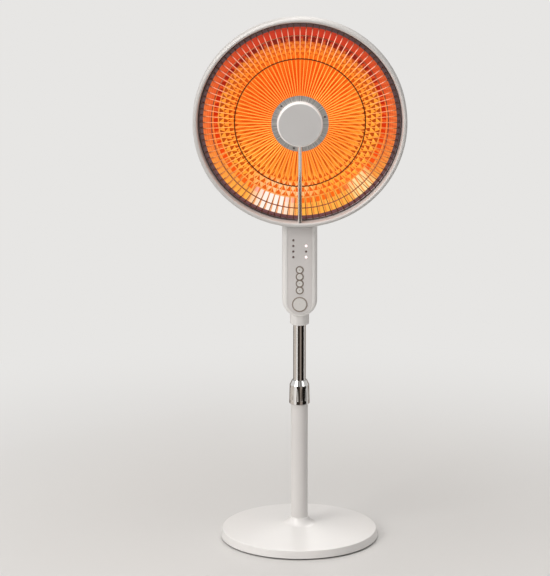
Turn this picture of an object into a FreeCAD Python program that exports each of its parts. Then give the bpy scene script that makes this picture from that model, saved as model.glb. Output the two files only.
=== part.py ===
import FreeCAD, Part
import math
import os
import re
import Sketcher
from FreeCAD import Placement, Rotation, Vector

# Free-standing carbon heater: round weighted base, telescopic mast, swinging
# control unit and a tilting dish head behind a wire guard.
# Millimetres, +Z up, front towards -Y, origin on the floor under the mast.

SIZES = {
    # Weighted base
    "foot_height": 6.0,
    "foot_radius": 9.0,
    "foot_inset": 22.0,
    "floor_gap": 3.0,
    "base_radius": 149.5,
    "base_taper": 2.0,
    "base_rim_height": 15.0,
    "base_edge_round": 1.8,
    "base_wall": 2.5,
    "base_rise": 9.5,
    "boss_spread": 16.0,
    "boss_height": 12.9,
    "boss_wall": 2.5,
    "boss_curve": 17.0,
    "rib_inset": 10.0,
    "ballast_inset": 17.0,
    "ballast_thickness": 8.0,
    "bolt_radius": 4.0,
    "bolt_clearance": 0.4,
    "bolt_head_radius": 7.5,
    "bolt_head_height": 3.2,
    "bolt_reach": 16.0,
    "washer_radius": 12.0,
    "washer_thickness": 1.5,
    # Fits shared by many pieces
    "seat_fit": 0.05,
    "running_fit": 0.08,
    "panel_fit": 0.35,
    "button_fit": 0.3,
    "part_gap": 0.3,
    # Telescopic mast
    "outer_tube_radius": 16.0,
    "outer_tube_wall": 1.5,
    "outer_tube_length": 280.0,
    "tube_foot_height": 20.0,
    "bush_depth": 26.0,
    "bush_flange": 3.0,
    "bush_finger": 6.0,
    "bush_finger_wall": 3.0,
    "bush_tip_wall": 1.7,
    "bush_slot": 2.0,
    "collar_skirt": 28.0,
    "collar_nose": 18.0,
    "collar_wall": 3.5,
    "collar_shoulder_wall": 2.5,
    "collar_shoulder": 9.0,
    "collar_nose_wall": 1.8,
    "collar_mouth": 2.0,
    "collar_mouth_gap": 0.5,
    "collar_gap": 0.09,
    "collar_edge": 1.0,
    "collar_band": 8.0,
    "flute_radius": 3.2,
    "flute_depth": 0.9,
    "inner_tube_radius": 12.0,
    "inner_tube_wall": 1.25,
    "inner_tube_length": 286.0,
    "chrome_show": 111.0,
    "guide_flange": 8.0,
    "guide_spigot": 18.0,
    "guide_bore": 6.0,
    # Neck and swing drive
    "neck_radius": 18.0,
    "neck_height": 24.0,
    "neck_seat": 18.0,
    "neck_edge": 0.8,
    "neck_spigot_radius": 9.0,
    "neck_spigot_height": 17.0,
    "wire_hole_radius": 5.0,
    "neck_screw_radius": 2.0,
    "neck_screw_head_radius": 3.5,
    "neck_screw_head_height": 2.2,
    "neck_screw_rise": 8.0,
    "swivel_washer_thickness": 1.0,
    "neck_recess": 5.0,
    "gear_module": 0.7,
    "gear_width": 5.0,
    "gear_clearance": 0.1,
    "gear_backlash": 0.12,
    "pinion_shaft_radius": 2.5,
    "pinion_shaft_length": 8.0,
    "motor_radius": 14.0,
    "motor_height": 19.0,
    "motor_offset": 8.0,
    "motor_gap": 3.0,
    "motor_shelf": 2.5,
    # Control unit housing
    "housing_half_width": 33.0,
    "housing_height": 183.0,
    "housing_depth_front": 30.0,
    "housing_depth_rear": 30.0,
    "housing_edge_round": 8.0,
    "housing_wall": 2.4,
    "housing_front_wall": 5.0,
    "housing_rear_wall": 5.0,
    "housing_floor": 3.0,
    "housing_screw_radius": 1.5,
    "housing_screw_head_radius": 3.0,
    "housing_screw_head_height": 2.4,
    "housing_screw_grip": 14.0,
    "housing_screw_bite": 10.0,
    "housing_post_radius": 4.5,
    "housing_post_side": 25.0,
    "housing_post_low": 58.0,
    "housing_post_drop": 14.0,
    "panel_half_width": 23.2,
    "panel_rise": 6.0,
    "panel_drop": 8.0,
    "panel_thickness": 1.5,
    "small_button_radius": 5.3,
    "small_button_rise": 52.7,
    "small_button_pitch": 13.3,
    "power_button_radius": 12.4,
    "power_button_rise": 25.3,
    "button_proud": 1.3,
    "button_dish": 0.4,
    "button_flange": 0.9,
    "button_flange_thickness": 1.45,
    "button_travel": 1.2,
    "bezel_width": 1.95,
    "bezel_height": 0.8,
    "lens_radius": 1.9,
    "lens_rise": 117.6,
    "lens_pitch": 10.9,
    "lens_side": 12.0,
    "board_half_width": 19.5,
    "board_thickness": 1.6,
    "board_rise": 16.0,
    "board_drop": 10.0,
    "board_setback": 12.4,
    "board_post_radius": 2.8,
    "board_post_side": 16.0,
    "board_post_low": 47.0,
    "board_post_drop": 22.0,
    "switch_side": 6.0,
    "switch_body": 3.5,
    "plunger_radius": 1.75,
    "led_radius": 1.5,
    "led_gap": 0.4,
    "lens_length": 9.0,
    "relay_width": 15.0,
    "relay_height": 20.0,
    "relay_depth": 12.0,
    "relay_drop": 40.0,
    "tip_switch_width": 14.0,
    "tip_switch_height": 22.0,
    "tip_switch_depth": 10.0,
    "tip_switch_rise": 95.0,
    "gland_rise": 62.0,
    "gland_bore": 3.6,
    "gland_neck_radius": 5.9,
    "gland_flange_radius": 8.5,
    "gland_flange": 3.0,
    # Tilt joint
    "tilt_rise": 14.0,
    "tilt_back": 11.0,
    "ear_radius": 11.0,
    "ear_inner": 23.0,
    "ear_thickness": 8.0,
    "knuckle_half_width": 21.5,
    "knuckle_rise": 50.0,
    "knuckle_shoulder": 22.0,
    "tilt_washer_radius": 9.0,
    "tilt_washer_thickness": 1.2,
    "tilt_bolt_radius": 4.0,
    "tilt_bolt_head_radius": 6.5,
    "tilt_bolt_head_height": 3.5,
    # Dish head
    "ring_drop": 13.0,
    "ring_radius": 200.0,
    "ring_front": 66.0,
    "ring_depth": 21.0,
    "ring_nose": 4.2,
    "ring_wall": 2.4,
    "ring_skirt_wall": 2.0,
    "ring_skirt_taper": 1.6,
    "seat_depth": 19.0,
    "flange_thickness": 2.5,
    "flange_inset": 22.4,
    "shell_inset": 13.0,
    "waist_inset": 15.0,
    "shell_waist_depth": 9.0,
    "shell_wall": 2.5,
    "shell_depth": 94.0,
    "shell_back_radius": 40.0,
    "shell_curve": 300.0,
    "vent_start": 22.0,
    "vent_stop": 73.0,
    "vent_width": 4.0,
    "band_outer_inset": 24.0,
    "band_inner_inset": 45.0,
    "band_depth": 25.0,
    "band_thickness": 1.0,
    "band_lip": 3.2,
    "dish_thickness": 0.8,
    "dish_rim": 3.5,
    "facet_depth": 36.0,
    "facet_drop": 20.0,
    "facet_relief": 0.8,
    "flute_inner": 54.0,
    "flute_drop": 25.0,
    "flute_relief": 1.4,
    "dish_hub_radius": 50.0,
    "dish_hole_radius": 12.0,
    # Wire guard, hub and lamp
    "wire_radius": 0.8,
    "guard_hub_radius": 46.0,
    "guard_hub_front": 63.0,
    "guard_crown": 2.2,
    "guard_ring_wire": 1.1,
    "mid_ring_inset": 78.0,
    "outer_ring_inset": 35.0,
    "guard_rim_wire": 1.75,
    "weld_gap": 0.03,
    "hub_plate_radius": 53.4,
    "hub_plate_thickness": 1.2,
    "hub_cap_radius": 42.7,
    "hub_cap_height": 11.0,
    "hub_cap_edge": 4.0,
    "hub_cap_wall": 2.0,
    "stalk_radius": 4.0,
    "stalk_wall": 0.8,
    "stalk_entry": 4.5,
    "stalk_hub_lift": 6.2,
    "stalk_rim_front": 60.0,
    "carrier_radius": 42.0,
    "carrier_thickness": 6.0,
    "lamp_radius": 32.0,
    "lamp_tube_radius": 6.0,
    "lamp_tube_wall": 1.0,
    "lamp_standoff": 12.0,
    "filament_radius": 2.0,
    "lamp_cap_radius": 7.4,
    "lamp_cap_length": 13.0,
    "clip_wall": 0.8,
    "clip_length": 6.0,
    "clip_post_radius": 2.5,
}

FOOT_COUNT = 5
COLLAR_FLUTES = 14
GEAR_TEETH = 32
PINION_TEETH = 16
PRESSURE_ANGLE = 20.0
FLANK_POINTS = 5
SMALL_BUTTONS = ("heat_button", "timer_button", "swing_button", "mode_button")
LENS_ROWS = 4
GUARD_WIRES = 96
DISH_SECTORS = 68
FACET_ROWS = 4
VENT_SLOTS = 24
LAMP_GAP_DEGREES = 80.0
LAMP_CLIPS = 3
CLIP_MOUTH_DEGREES = 70.0
HEX_SIDES = 6

doc = FreeCAD.newDocument("carbon_heater")
sheet = doc.addObject("Spreadsheet::Sheet", "Dim")
for row, (alias, number) in enumerate(SIZES.items(), start=1):
    sheet.set(f"A{row}", alias)
    sheet.set(f"B{row}", str(number))
    sheet.setAlias(f"B{row}", alias)
doc.recompute()

pieces = []


def dim(expression):
    """Expression with every size name pointed at its cell of the sheet."""
    text = str(expression)
    return re.sub(r"[a-z][a-z_]*", lambda word: "Dim." + word[0] if word[0] in SIZES else word[0], text)


def value(expression):
    """Number that an expression of size names stands for now."""
    return float(sheet.evalExpression(dim(expression)))


def bind(thing, prop, expression):
    thing.setExpression(prop, dim(expression))


def place(thing, x=0, y=0, z=0):
    """Ties the place of an object to size expressions."""
    for axis, expression in (("x", x), ("y", y), ("z", z)):
        if expression != 0:
            bind(thing, "Placement.Base." + axis, expression)
    return thing


def piece(thing, label):
    """Marks a finished object as a named piece of the heater."""
    thing.Label = label
    pieces.append(thing)
    return thing


TURNS = {
    "Z": Rotation(),
    "X": Rotation(Vector(0, 1, 0), 90),
    "Y": Rotation(Vector(1, 0, 0), -90),
    "-Y": Rotation(Vector(1, 0, 0), 90),
}


def cylinder(name, radius, length, x=0, y=0, z=0, along="Z"):
    rod = doc.addObject("Part::Cylinder", name)
    bind(rod, "Radius", radius)
    bind(rod, "Height", length)
    rod.Placement = Placement(Vector(), TURNS[along])
    return place(rod, x, y, z)


def box(name, length, width, height, x=0, y=0, z=0):
    block = doc.addObject("Part::Box", name)
    bind(block, "Length", length)
    bind(block, "Width", width)
    bind(block, "Height", height)
    return place(block, x, y, z)


def cut(name, base, tool):
    result = doc.addObject("Part::Cut", name)
    result.Base = base
    result.Tool = tool
    return result


def fuse(name, parts):
    result = doc.addObject("Part::MultiFuse", name)
    result.Shapes = parts
    return result


def group(name, parts):
    result = doc.addObject("Part::Compound", name)
    result.Links = parts
    return result


def origin_feature(body, role):
    return next(item for item in body.Origin.OriginFeatures if item.Role == role)


def new_sketch(body, name, plane, offset=0):
    sketch = body.newObject("Sketcher::SketchObject", name)
    sketch.AttachmentSupport = [(origin_feature(body, plane), "")]
    sketch.MapMode = "FlatFace"
    if offset != 0:
        bind(sketch, "AttachmentOffset.Base.z", offset)
    return sketch


def pin_point(sketch, geometry, end, u, v):
    """Holds a point of a sketch at two size expressions."""
    for kind, expression in (("DistanceX", u), ("DistanceY", v)):
        rule = Sketcher.Constraint(kind, -1, 1, geometry, end, value(expression))
        bind(sketch, f"Constraints[{sketch.addConstraint(rule)}]", expression)


def pin_radius(sketch, geometry, expression):
    rule = Sketcher.Constraint("Radius", geometry, value(expression))
    bind(sketch, f"Constraints[{sketch.addConstraint(rule)}]", expression)


def draw_outline(sketch, points, arcs=None):
    """Closed outline through points given as expressions. arcs maps a stretch
    to its radius and to the side of its centre: 1 for left, -1 for right."""
    arcs = arcs or {}
    corners = [Vector(value(u), value(v), 0) for u, v in points]
    ends = []
    for index, start in enumerate(corners):
        stop = corners[(index + 1) % len(corners)]
        if index not in arcs:
            ends.append((sketch.addGeometry(Part.LineSegment(start, stop)), 1, 2))
            continue
        radius, side = arcs[index]
        chord = stop - start
        half = chord.Length / 2
        rise = math.sqrt(max(value(radius) ** 2 - half ** 2, 0))
        left = Vector(-chord.y, chord.x, 0).normalize()
        centre = start + chord * 0.5 + left * (rise * side)
        first, last = (start, stop) if side > 0 else (stop, start)
        angles = [math.atan2(tip.y - centre.y, tip.x - centre.x) for tip in (first, last)]
        circle = Part.Circle(centre, Vector(0, 0, 1), value(radius))
        curve = sketch.addGeometry(Part.ArcOfCircle(circle, angles[0], angles[1]))
        ends.append((curve, 1, 2) if side > 0 else (curve, 2, 1))
    for index, (curve, _, last_end) in enumerate(ends):
        following, first_end, _ = ends[(index + 1) % len(ends)]
        sketch.addConstraint(Sketcher.Constraint("Coincident", curve, last_end, following, first_end))
    for index, (u, v) in enumerate(points):
        pin_point(sketch, ends[index][0], ends[index][1], u, v)
        if index in arcs:
            pin_radius(sketch, ends[index][0], arcs[index][0])


def draw_circles(sketch, circles):
    """Circles given as centre and radius expressions."""
    for u, v, radius in circles:
        circle = Part.Circle(Vector(value(u), value(v), 0), Vector(0, 0, 1), value(radius))
        index = sketch.addGeometry(circle)
        pin_point(sketch, index, 3, u, v)
        pin_radius(sketch, index, radius)


def add_turned(body, name, axis, points, arcs=None):
    """Solid of revolution in a body. About Z the points are radius and
    height, about Y they are depth and radius."""
    plane, line = {"Z": ("XZ_Plane", "V_Axis"), "Y": ("YZ_Plane", "H_Axis")}[axis]
    sketch = new_sketch(body, name + "_outline", plane)
    draw_outline(sketch, points, arcs)
    feature = body.newObject("PartDesign::Revolution", name)
    feature.Profile = sketch
    feature.ReferenceAxis = (sketch, [line])
    feature.Angle = 360
    return feature


def new_body(name, x=0, y=0, z=0):
    return place(doc.addObject("PartDesign::Body", name), x, y, z)


def turned(label, axis, points, arcs=None, x=0, y=0, z=0):
    """A whole piece made as one solid of revolution."""
    body = new_body(label, x, y, z)
    add_turned(body, label + "_turned", axis, points, arcs)
    return piece(body, label)


def rectangle(u_low, v_low, u_high, v_high):
    return [(u_low, v_low), (u_high, v_low), (u_high, v_high), (u_low, v_high)]


def add_pad(body, name, sketch, length, reverse=False):
    feature = body.newObject("PartDesign::Pad", name)
    feature.Profile = sketch
    feature.Reversed = reverse
    bind(feature, "Length", length)
    return feature


def add_pocket(body, name, sketch, length, reverse=False):
    """Cuts a sketch out of a body and makes sure that material went."""
    doc.recompute()
    before = body.Shape.Volume
    feature = body.newObject("PartDesign::Pocket", name)
    feature.Profile = sketch
    feature.Reversed = reverse
    bind(feature, "Length", length)
    doc.recompute()
    if body.Shape.Volume >= before:
        raise RuntimeError(name + " removes nothing")
    return feature


def add_polar_copies(body, name, feature, axis, count):
    copies = body.newObject("PartDesign::PolarPattern", name)
    copies.Originals = [feature]
    copies.Axis = (origin_feature(body, axis), [""])
    copies.Angle = 360
    copies.Occurrences = count
    body.Tip = copies
    return copies


def round_edges(body, name, feature, radius, chosen):
    """Rounds the edges of a feature that a test picks."""
    doc.recompute()
    names = []
    for number, edge in enumerate(feature.Shape.Edges, start=1):
        if chosen(edge):
            names.append(f"Edge{number}")
    fillet = body.newObject("PartDesign::Fillet", name)
    fillet.Base = (feature, names)
    bind(fillet, "Radius", radius)
    return fillet


def turned_about(axis, degrees):
    return Placement(Vector(), Rotation(axis, degrees))


# Heights that the stack of pieces sets, from the floor up
BALLAST_TOP = "(foot_height + ballast_thickness)"
RIM_TOP = "(floor_gap + base_rim_height)"
BOSS_FOOT = f"({RIM_TOP} + base_rise)"
BOSS_TOP = f"({BOSS_FOOT} + boss_height)"
TUBE_TOP = f"({BALLAST_TOP} + outer_tube_length)"
COLLAR_BOTTOM = f"({TUBE_TOP} - collar_skirt)"
COLLAR_TOP = f"({TUBE_TOP} + collar_nose)"
NECK_BOTTOM = f"({COLLAR_TOP} + chrome_show)"
NECK_TOP = f"({NECK_BOTTOM} + neck_height)"
INNER_TUBE_TOP = f"({NECK_BOTTOM} + neck_seat)"
INNER_TUBE_BOTTOM = f"({INNER_TUBE_TOP} - inner_tube_length)"
SWIVEL_SEAT = f"({NECK_TOP} + swivel_washer_thickness)"
HOUSING_BOTTOM = f"({SWIVEL_SEAT} - neck_recess)"
HOUSING_FLOOR = f"({SWIVEL_SEAT} + housing_floor)"
HOUSING_CENTRE = f"({HOUSING_BOTTOM} + housing_half_width)"
HOUSING_TOP = f"({HOUSING_BOTTOM} + housing_height)"
TILT_HEIGHT = f"({HOUSING_TOP} + tilt_rise)"
HEAD_CENTRE = f"({TILT_HEIGHT} + ring_radius - ring_drop)"

# Radii shared along the mast
TUBE_BORE = "(outer_tube_radius - outer_tube_wall)"
INNER_BORE = "(inner_tube_radius - inner_tube_wall)"
SOCKET = "(outer_tube_radius + seat_fit)"

# Radii of the base, from its rim inwards
BASE_TOP_RADIUS = "(base_radius - base_taper)"
BASE_EDGE_RADIUS = f"({BASE_TOP_RADIUS} - base_edge_round)"
BALLAST_RADIUS = "(base_radius - ballast_inset)"
RIB_RADIUS = f"({BALLAST_RADIUS} - rib_inset)"
FOOT_CIRCLE = f"({BALLAST_RADIUS} - foot_inset)"
BOSS_TOP_RADIUS = "(outer_tube_radius + boss_wall)"
BOSS_FOOT_RADIUS = f"({BOSS_TOP_RADIUS} + boss_spread)"
BASE_SLOPE = f"(base_rise / ({BASE_EDGE_RADIUS} - {BOSS_FOOT_RADIUS}))"
RIB_RISE = f"({BASE_SLOPE} * ({BASE_EDGE_RADIUS} - {RIB_RADIUS} - base_wall))"

# Base cover: moulded shell with a soft-edged rim, a gentle cone and a flared boss
base_cover = new_body("base_cover")
add_turned(base_cover, "base_shell", "Z", [
    ("base_radius", "floor_gap"),
    (BASE_TOP_RADIUS, f"{RIM_TOP} - base_edge_round"),
    (BASE_EDGE_RADIUS, RIM_TOP),
    (BOSS_FOOT_RADIUS, BOSS_FOOT),
    (BOSS_TOP_RADIUS, BOSS_TOP),
    (SOCKET, BOSS_TOP),
    (SOCKET, BALLAST_TOP),
    (f"{SOCKET} + base_wall", BALLAST_TOP),
    (f"{SOCKET} + base_wall", f"{BOSS_FOOT} + base_wall"),
    (BOSS_FOOT_RADIUS, f"{BOSS_FOOT} - base_wall"),
    (BASE_EDGE_RADIUS, f"{RIM_TOP} - base_wall"),
    ("base_radius - base_wall", "floor_gap"),
], {1: ("base_edge_round", 1), 3: ("boss_curve", -1)})
add_turned(base_cover, "base_rib", "Z", rectangle(
    RIB_RADIUS, BALLAST_TOP, f"{RIB_RADIUS} + base_wall", f"{RIM_TOP} + {RIB_RISE} - base_wall / 2"))
piece(base_cover, "base_cover")

# Cast iron ballast disc under the cover, with the bolt hole in its middle
turned("ballast_disc", "Z", rectangle(
    "bolt_radius + bolt_clearance", "foot_height", BALLAST_RADIUS, BALLAST_TOP))

# Rubber feet under the ballast
feet = []
for index in range(FOOT_COUNT):
    angle = 2 * math.pi * index / FOOT_COUNT
    foot = doc.addObject("Part::Cone", f"foot_{index}")
    bind(foot, "Radius1", "foot_radius * 0.9")
    bind(foot, "Radius2", "foot_radius")
    bind(foot, "Height", "foot_height")
    across = f"{FOOT_CIRCLE} * {math.cos(angle):.6f}"
    feet.append(place(foot, across, f"{FOOT_CIRCLE} * {math.sin(angle):.6f}"))
piece(group("feet", feet), "rubber_feet")

# Hexagon bolt and washer that clamp the mast to the ballast from below
bolt_head = doc.addObject("Part::Prism", "bolt_head")
bolt_head.Polygon = HEX_SIDES
bind(bolt_head, "Circumradius", "bolt_head_radius")
bind(bolt_head, "Height", "bolt_head_height")
place(bolt_head, z="foot_height - washer_thickness - bolt_head_height")
bolt_shank = cylinder(
    "bolt_shank", "bolt_radius", "washer_thickness + ballast_thickness + bolt_reach",
    z="foot_height - washer_thickness")
piece(fuse("bolt", [bolt_head, bolt_shank]), "base_bolt")
turned("base_washer", "Z", rectangle(
    "bolt_radius + seat_fit", "foot_height - washer_thickness", "washer_radius", "foot_height"))

# Outer mast tube, with the threaded plug that takes the bolt in its foot
turned("outer_tube", "Z", rectangle(TUBE_BORE, BALLAST_TOP, "outer_tube_radius", TUBE_TOP))
turned("tube_foot", "Z", rectangle(
    "bolt_radius + seat_fit", BALLAST_TOP, f"{TUBE_BORE} - seat_fit", f"{BALLAST_TOP} + tube_foot_height"))

# Split bush in the top of the outer tube: its four fingers grip the inner tube
FINGER_FOOT = f"({TUBE_TOP} + bush_flange)"
FINGER_TIP = f"({FINGER_FOOT} + bush_finger)"
BUSH_BORE = "(inner_tube_radius + running_fit)"
split_bush = new_body("split_bush")
add_turned(split_bush, "bush_turned", "Z", [
    (BUSH_BORE, f"{TUBE_TOP} - bush_depth"),
    (f"{TUBE_BORE} - seat_fit", f"{TUBE_TOP} - bush_depth"),
    (f"{TUBE_BORE} - seat_fit", TUBE_TOP),
    ("outer_tube_radius", TUBE_TOP),
    ("outer_tube_radius", FINGER_FOOT),
    (f"{BUSH_BORE} + bush_finger_wall", FINGER_FOOT),
    (f"{BUSH_BORE} + bush_tip_wall", FINGER_TIP),
    (BUSH_BORE, FINGER_TIP),
])
for plane in ("XZ_Plane", "YZ_Plane"):
    slot_sketch = new_sketch(split_bush, "slot_outline_" + plane, plane)
    draw_outline(slot_sketch, rectangle(
        "-bush_slot / 2", FINGER_FOOT, "bush_slot / 2", f"{FINGER_TIP} + bush_finger"))
    slot = add_pocket(split_bush, "slot_" + plane, slot_sketch, "4 * outer_tube_radius")
    slot.SideType = "Symmetric"
piece(split_bush, "split_bush")

# Lock collar: chromed nut with a coned nose and a ring of shallow finger flutes
COLLAR_BORE = "(outer_tube_radius + collar_gap)"
COLLAR_RADIUS = f"({COLLAR_BORE} + collar_wall)"
COLLAR_MOUTH = "(inner_tube_radius + collar_mouth_gap)"
lock_collar = new_body("lock_collar")
add_turned(lock_collar, "collar_turned", "Z", [
    (COLLAR_BORE, COLLAR_BOTTOM),
    (f"{COLLAR_RADIUS} - collar_edge", COLLAR_BOTTOM),
    (COLLAR_RADIUS, f"{COLLAR_BOTTOM} + collar_edge"),
    (f"{COLLAR_BORE} + collar_shoulder_wall", f"{COLLAR_TOP} - collar_shoulder"),
    (f"{COLLAR_MOUTH} + collar_nose_wall", COLLAR_TOP),
    (COLLAR_MOUTH, COLLAR_TOP),
    (COLLAR_MOUTH, f"{COLLAR_TOP} - collar_mouth"),
    (COLLAR_BORE, f"{FINGER_FOOT} + collar_gap"),
])
flute_sketch = new_sketch(lock_collar, "flute_outline", "XY_Plane", f"{COLLAR_BOTTOM} + collar_band")
draw_circles(flute_sketch, [(f"{COLLAR_RADIUS} + flute_radius - flute_depth", "0", "flute_radius")])
flute = add_pocket(lock_collar, "flute", flute_sketch, "collar_skirt + collar_nose", reverse=True)
add_polar_copies(lock_collar, "flutes", flute, "Z_Axis", COLLAR_FLUTES)
piece(lock_collar, "lock_collar")

# Chromed inner tube and the plastic guide plugged into its lower end
turned("inner_tube", "Z", rectangle(INNER_BORE, INNER_TUBE_BOTTOM, "inner_tube_radius", INNER_TUBE_TOP))
turned("tube_guide", "Z", [
    ("guide_bore", f"{INNER_TUBE_BOTTOM} - guide_flange"),
    (f"{TUBE_BORE} - running_fit", f"{INNER_TUBE_BOTTOM} - guide_flange"),
    (f"{TUBE_BORE} - running_fit", INNER_TUBE_BOTTOM),
    (f"{INNER_BORE} - seat_fit", INNER_TUBE_BOTTOM),
    (f"{INNER_BORE} - seat_fit", f"{INNER_TUBE_BOTTOM} + guide_spigot"),
    ("guide_bore", f"{INNER_TUBE_BOTTOM} + guide_spigot"),
])

# Neck: white sleeve on the inner tube, with the hollow spigot that the control unit swings on
SPIGOT_TOP = f"({NECK_TOP} + neck_spigot_height)"
neck_sleeve = new_body("neck_sleeve")
add_turned(neck_sleeve, "neck_turned", "Z", [
    ("inner_tube_radius + seat_fit", NECK_BOTTOM),
    ("neck_radius - neck_edge", NECK_BOTTOM),
    ("neck_radius", f"{NECK_BOTTOM} + neck_edge"),
    ("neck_radius", NECK_TOP),
    ("neck_spigot_radius", NECK_TOP),
    ("neck_spigot_radius", SPIGOT_TOP),
    ("wire_hole_radius", SPIGOT_TOP),
    ("wire_hole_radius", INNER_TUBE_TOP),
    ("inner_tube_radius + seat_fit", INNER_TUBE_TOP),
])
NECK_SCREW_HEIGHT = f"({NECK_BOTTOM} + neck_screw_rise)"
screw_hole = new_sketch(neck_sleeve, "screw_hole_outline", "XZ_Plane")
draw_circles(screw_hole, [("0", NECK_SCREW_HEIGHT, "neck_screw_radius + seat_fit")])
add_pocket(neck_sleeve, "screw_hole", screw_hole, "2 * neck_radius")
piece(neck_sleeve, "neck_sleeve")
neck_screw_shank = cylinder(
    "neck_screw_shank", "neck_screw_radius", "neck_radius - inner_tube_radius - seat_fit",
    y="inner_tube_radius + seat_fit", z=NECK_SCREW_HEIGHT, along="Y")
neck_screw_head = cylinder(
    "neck_screw_head", "neck_screw_head_radius", "neck_screw_head_height",
    y="neck_radius", z=NECK_SCREW_HEIGHT, along="Y")
piece(fuse("neck_screw_solid", [neck_screw_shank, neck_screw_head]), "neck_screw")
turned("swivel_washer", "Z", rectangle(
    "neck_spigot_radius + seat_fit", NECK_TOP, "neck_radius - neck_edge", SWIVEL_SEAT))


def gear_outline(teeth, module, backlash):
    """Closed involute tooth outline about the origin, a tooth on +X."""
    pressure = math.radians(PRESSURE_ANGLE)
    pitch = teeth * module / 2
    base = pitch * math.cos(pressure)
    tip = pitch + module
    root = pitch - 1.25 * module
    pitch_spread = math.tan(pressure) - pressure
    half_tooth = math.pi / (2 * teeth) - backlash / (2 * pitch)
    start = max(base, root)
    flank = []
    for step in range(FLANK_POINTS):
        radius = start + (tip - start) * step / (FLANK_POINTS - 1)
        roll = math.acos(min(1.0, base / radius))
        flank.append((radius, half_tooth + pitch_spread - (math.tan(roll) - roll)))
    points = []
    for tooth in range(teeth):
        middle = 2 * math.pi * tooth / teeth
        rising = [(root, flank[0][1])] + flank
        side = [(radius, middle - spread) for radius, spread in rising]
        side += [(radius, middle + spread) for radius, spread in reversed(rising)]
        points += [Vector(radius * math.cos(at), radius * math.sin(at), 0) for radius, at in side]
    return points + points[:1]


def gear_solid(teeth, bore):
    outline = Part.makePolygon(gear_outline(teeth, value("gear_module"), value("gear_backlash")))
    wheel = Part.Face(outline).extrude(Vector(0, 0, value("gear_width")))
    if bore == 0:
        return wheel
    return wheel.cut(Part.makeCylinder(bore, value("gear_width")))


# Swing drive: fixed gear on the spigot, pinion that rolls round it, geared motor above
GEAR_BOTTOM = f"({SPIGOT_TOP} - gear_width)"
SHAFT_SIDE = f"({GEAR_TEETH + PINION_TEETH} * gear_module / 2 + gear_clearance)"
MOTOR_BOTTOM = f"({SPIGOT_TOP} + motor_gap)"
MOTOR_TOP = f"({MOTOR_BOTTOM} + motor_height)"
swing_gear = doc.addObject("Part::Feature", "swing_gear")
swing_gear.Shape = gear_solid(GEAR_TEETH, value("neck_spigot_radius + seat_fit"))
place(swing_gear, z=GEAR_BOTTOM)
piece(swing_gear, "swing_gear")
swing_pinion = doc.addObject("Part::Feature", "swing_pinion")
pinion_shaft = Part.makeCylinder(
    value("pinion_shaft_radius"), value("gear_width + motor_gap + pinion_shaft_length"))
swing_pinion.Shape = gear_solid(PINION_TEETH, 0).fuse(pinion_shaft)
swing_pinion.Placement = turned_about(Vector(0, 0, 1), 180 / PINION_TEETH)
place(swing_pinion, x=SHAFT_SIDE, z=GEAR_BOTTOM)
piece(swing_pinion, "swing_pinion")
motor_can = cylinder(
    "motor_can", "motor_radius", "motor_height", x=f"{SHAFT_SIDE} - motor_offset", z=MOTOR_BOTTOM)
motor_bore = cylinder(
    "motor_bore", "pinion_shaft_radius + running_fit", "pinion_shaft_length + motor_gap",
    x=SHAFT_SIDE, z=MOTOR_BOTTOM)
piece(cut("motor", motor_can, motor_bore), "swing_motor")

# Control unit housing: two moulded halves that meet on the mast axis
HALF_WIDTH = "housing_half_width"
HOUSING_OUTLINE = [
    (f"-{HALF_WIDTH}", HOUSING_TOP),
    (f"-{HALF_WIDTH}", HOUSING_CENTRE),
    ("0", HOUSING_BOTTOM),
    (HALF_WIDTH, HOUSING_CENTRE),
    (HALF_WIDTH, HOUSING_TOP),
]
HOUSING_ARCS = {1: (HALF_WIDTH, 1), 2: (HALF_WIDTH, 1)}
INNER_HALF = "(housing_half_width - housing_wall)"
FLOOR_DROP = f"({HOUSING_CENTRE} - {HOUSING_FLOOR})"
FLOOR_HALF = f"sqrt({INNER_HALF} * {INNER_HALF} - {FLOOR_DROP} * {FLOOR_DROP})"
CAVITY_OUTLINE = [
    (f"-{INNER_HALF}", f"{HOUSING_TOP} - housing_wall"),
    (f"-{INNER_HALF}", HOUSING_CENTRE),
    (f"-{FLOOR_HALF}", HOUSING_FLOOR),
    (FLOOR_HALF, HOUSING_FLOOR),
    (INNER_HALF, HOUSING_CENTRE),
    (INNER_HALF, f"{HOUSING_TOP} - housing_wall"),
]
CAVITY_ARCS = {1: (INNER_HALF, 1), 3: (INNER_HALF, 1)}
POST_LOW = f"({HOUSING_BOTTOM} + housing_post_low)"
POST_HIGH = f"({HOUSING_TOP} - housing_post_drop)"
POSTS = [(side + "housing_post_side", height) for side in ("-", "") for height in (POST_LOW, POST_HIGH)]
FRONT_INSIDE = "(housing_depth_front - housing_front_wall)"
REAR_INSIDE = "(housing_depth_rear - housing_rear_wall)"


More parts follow.
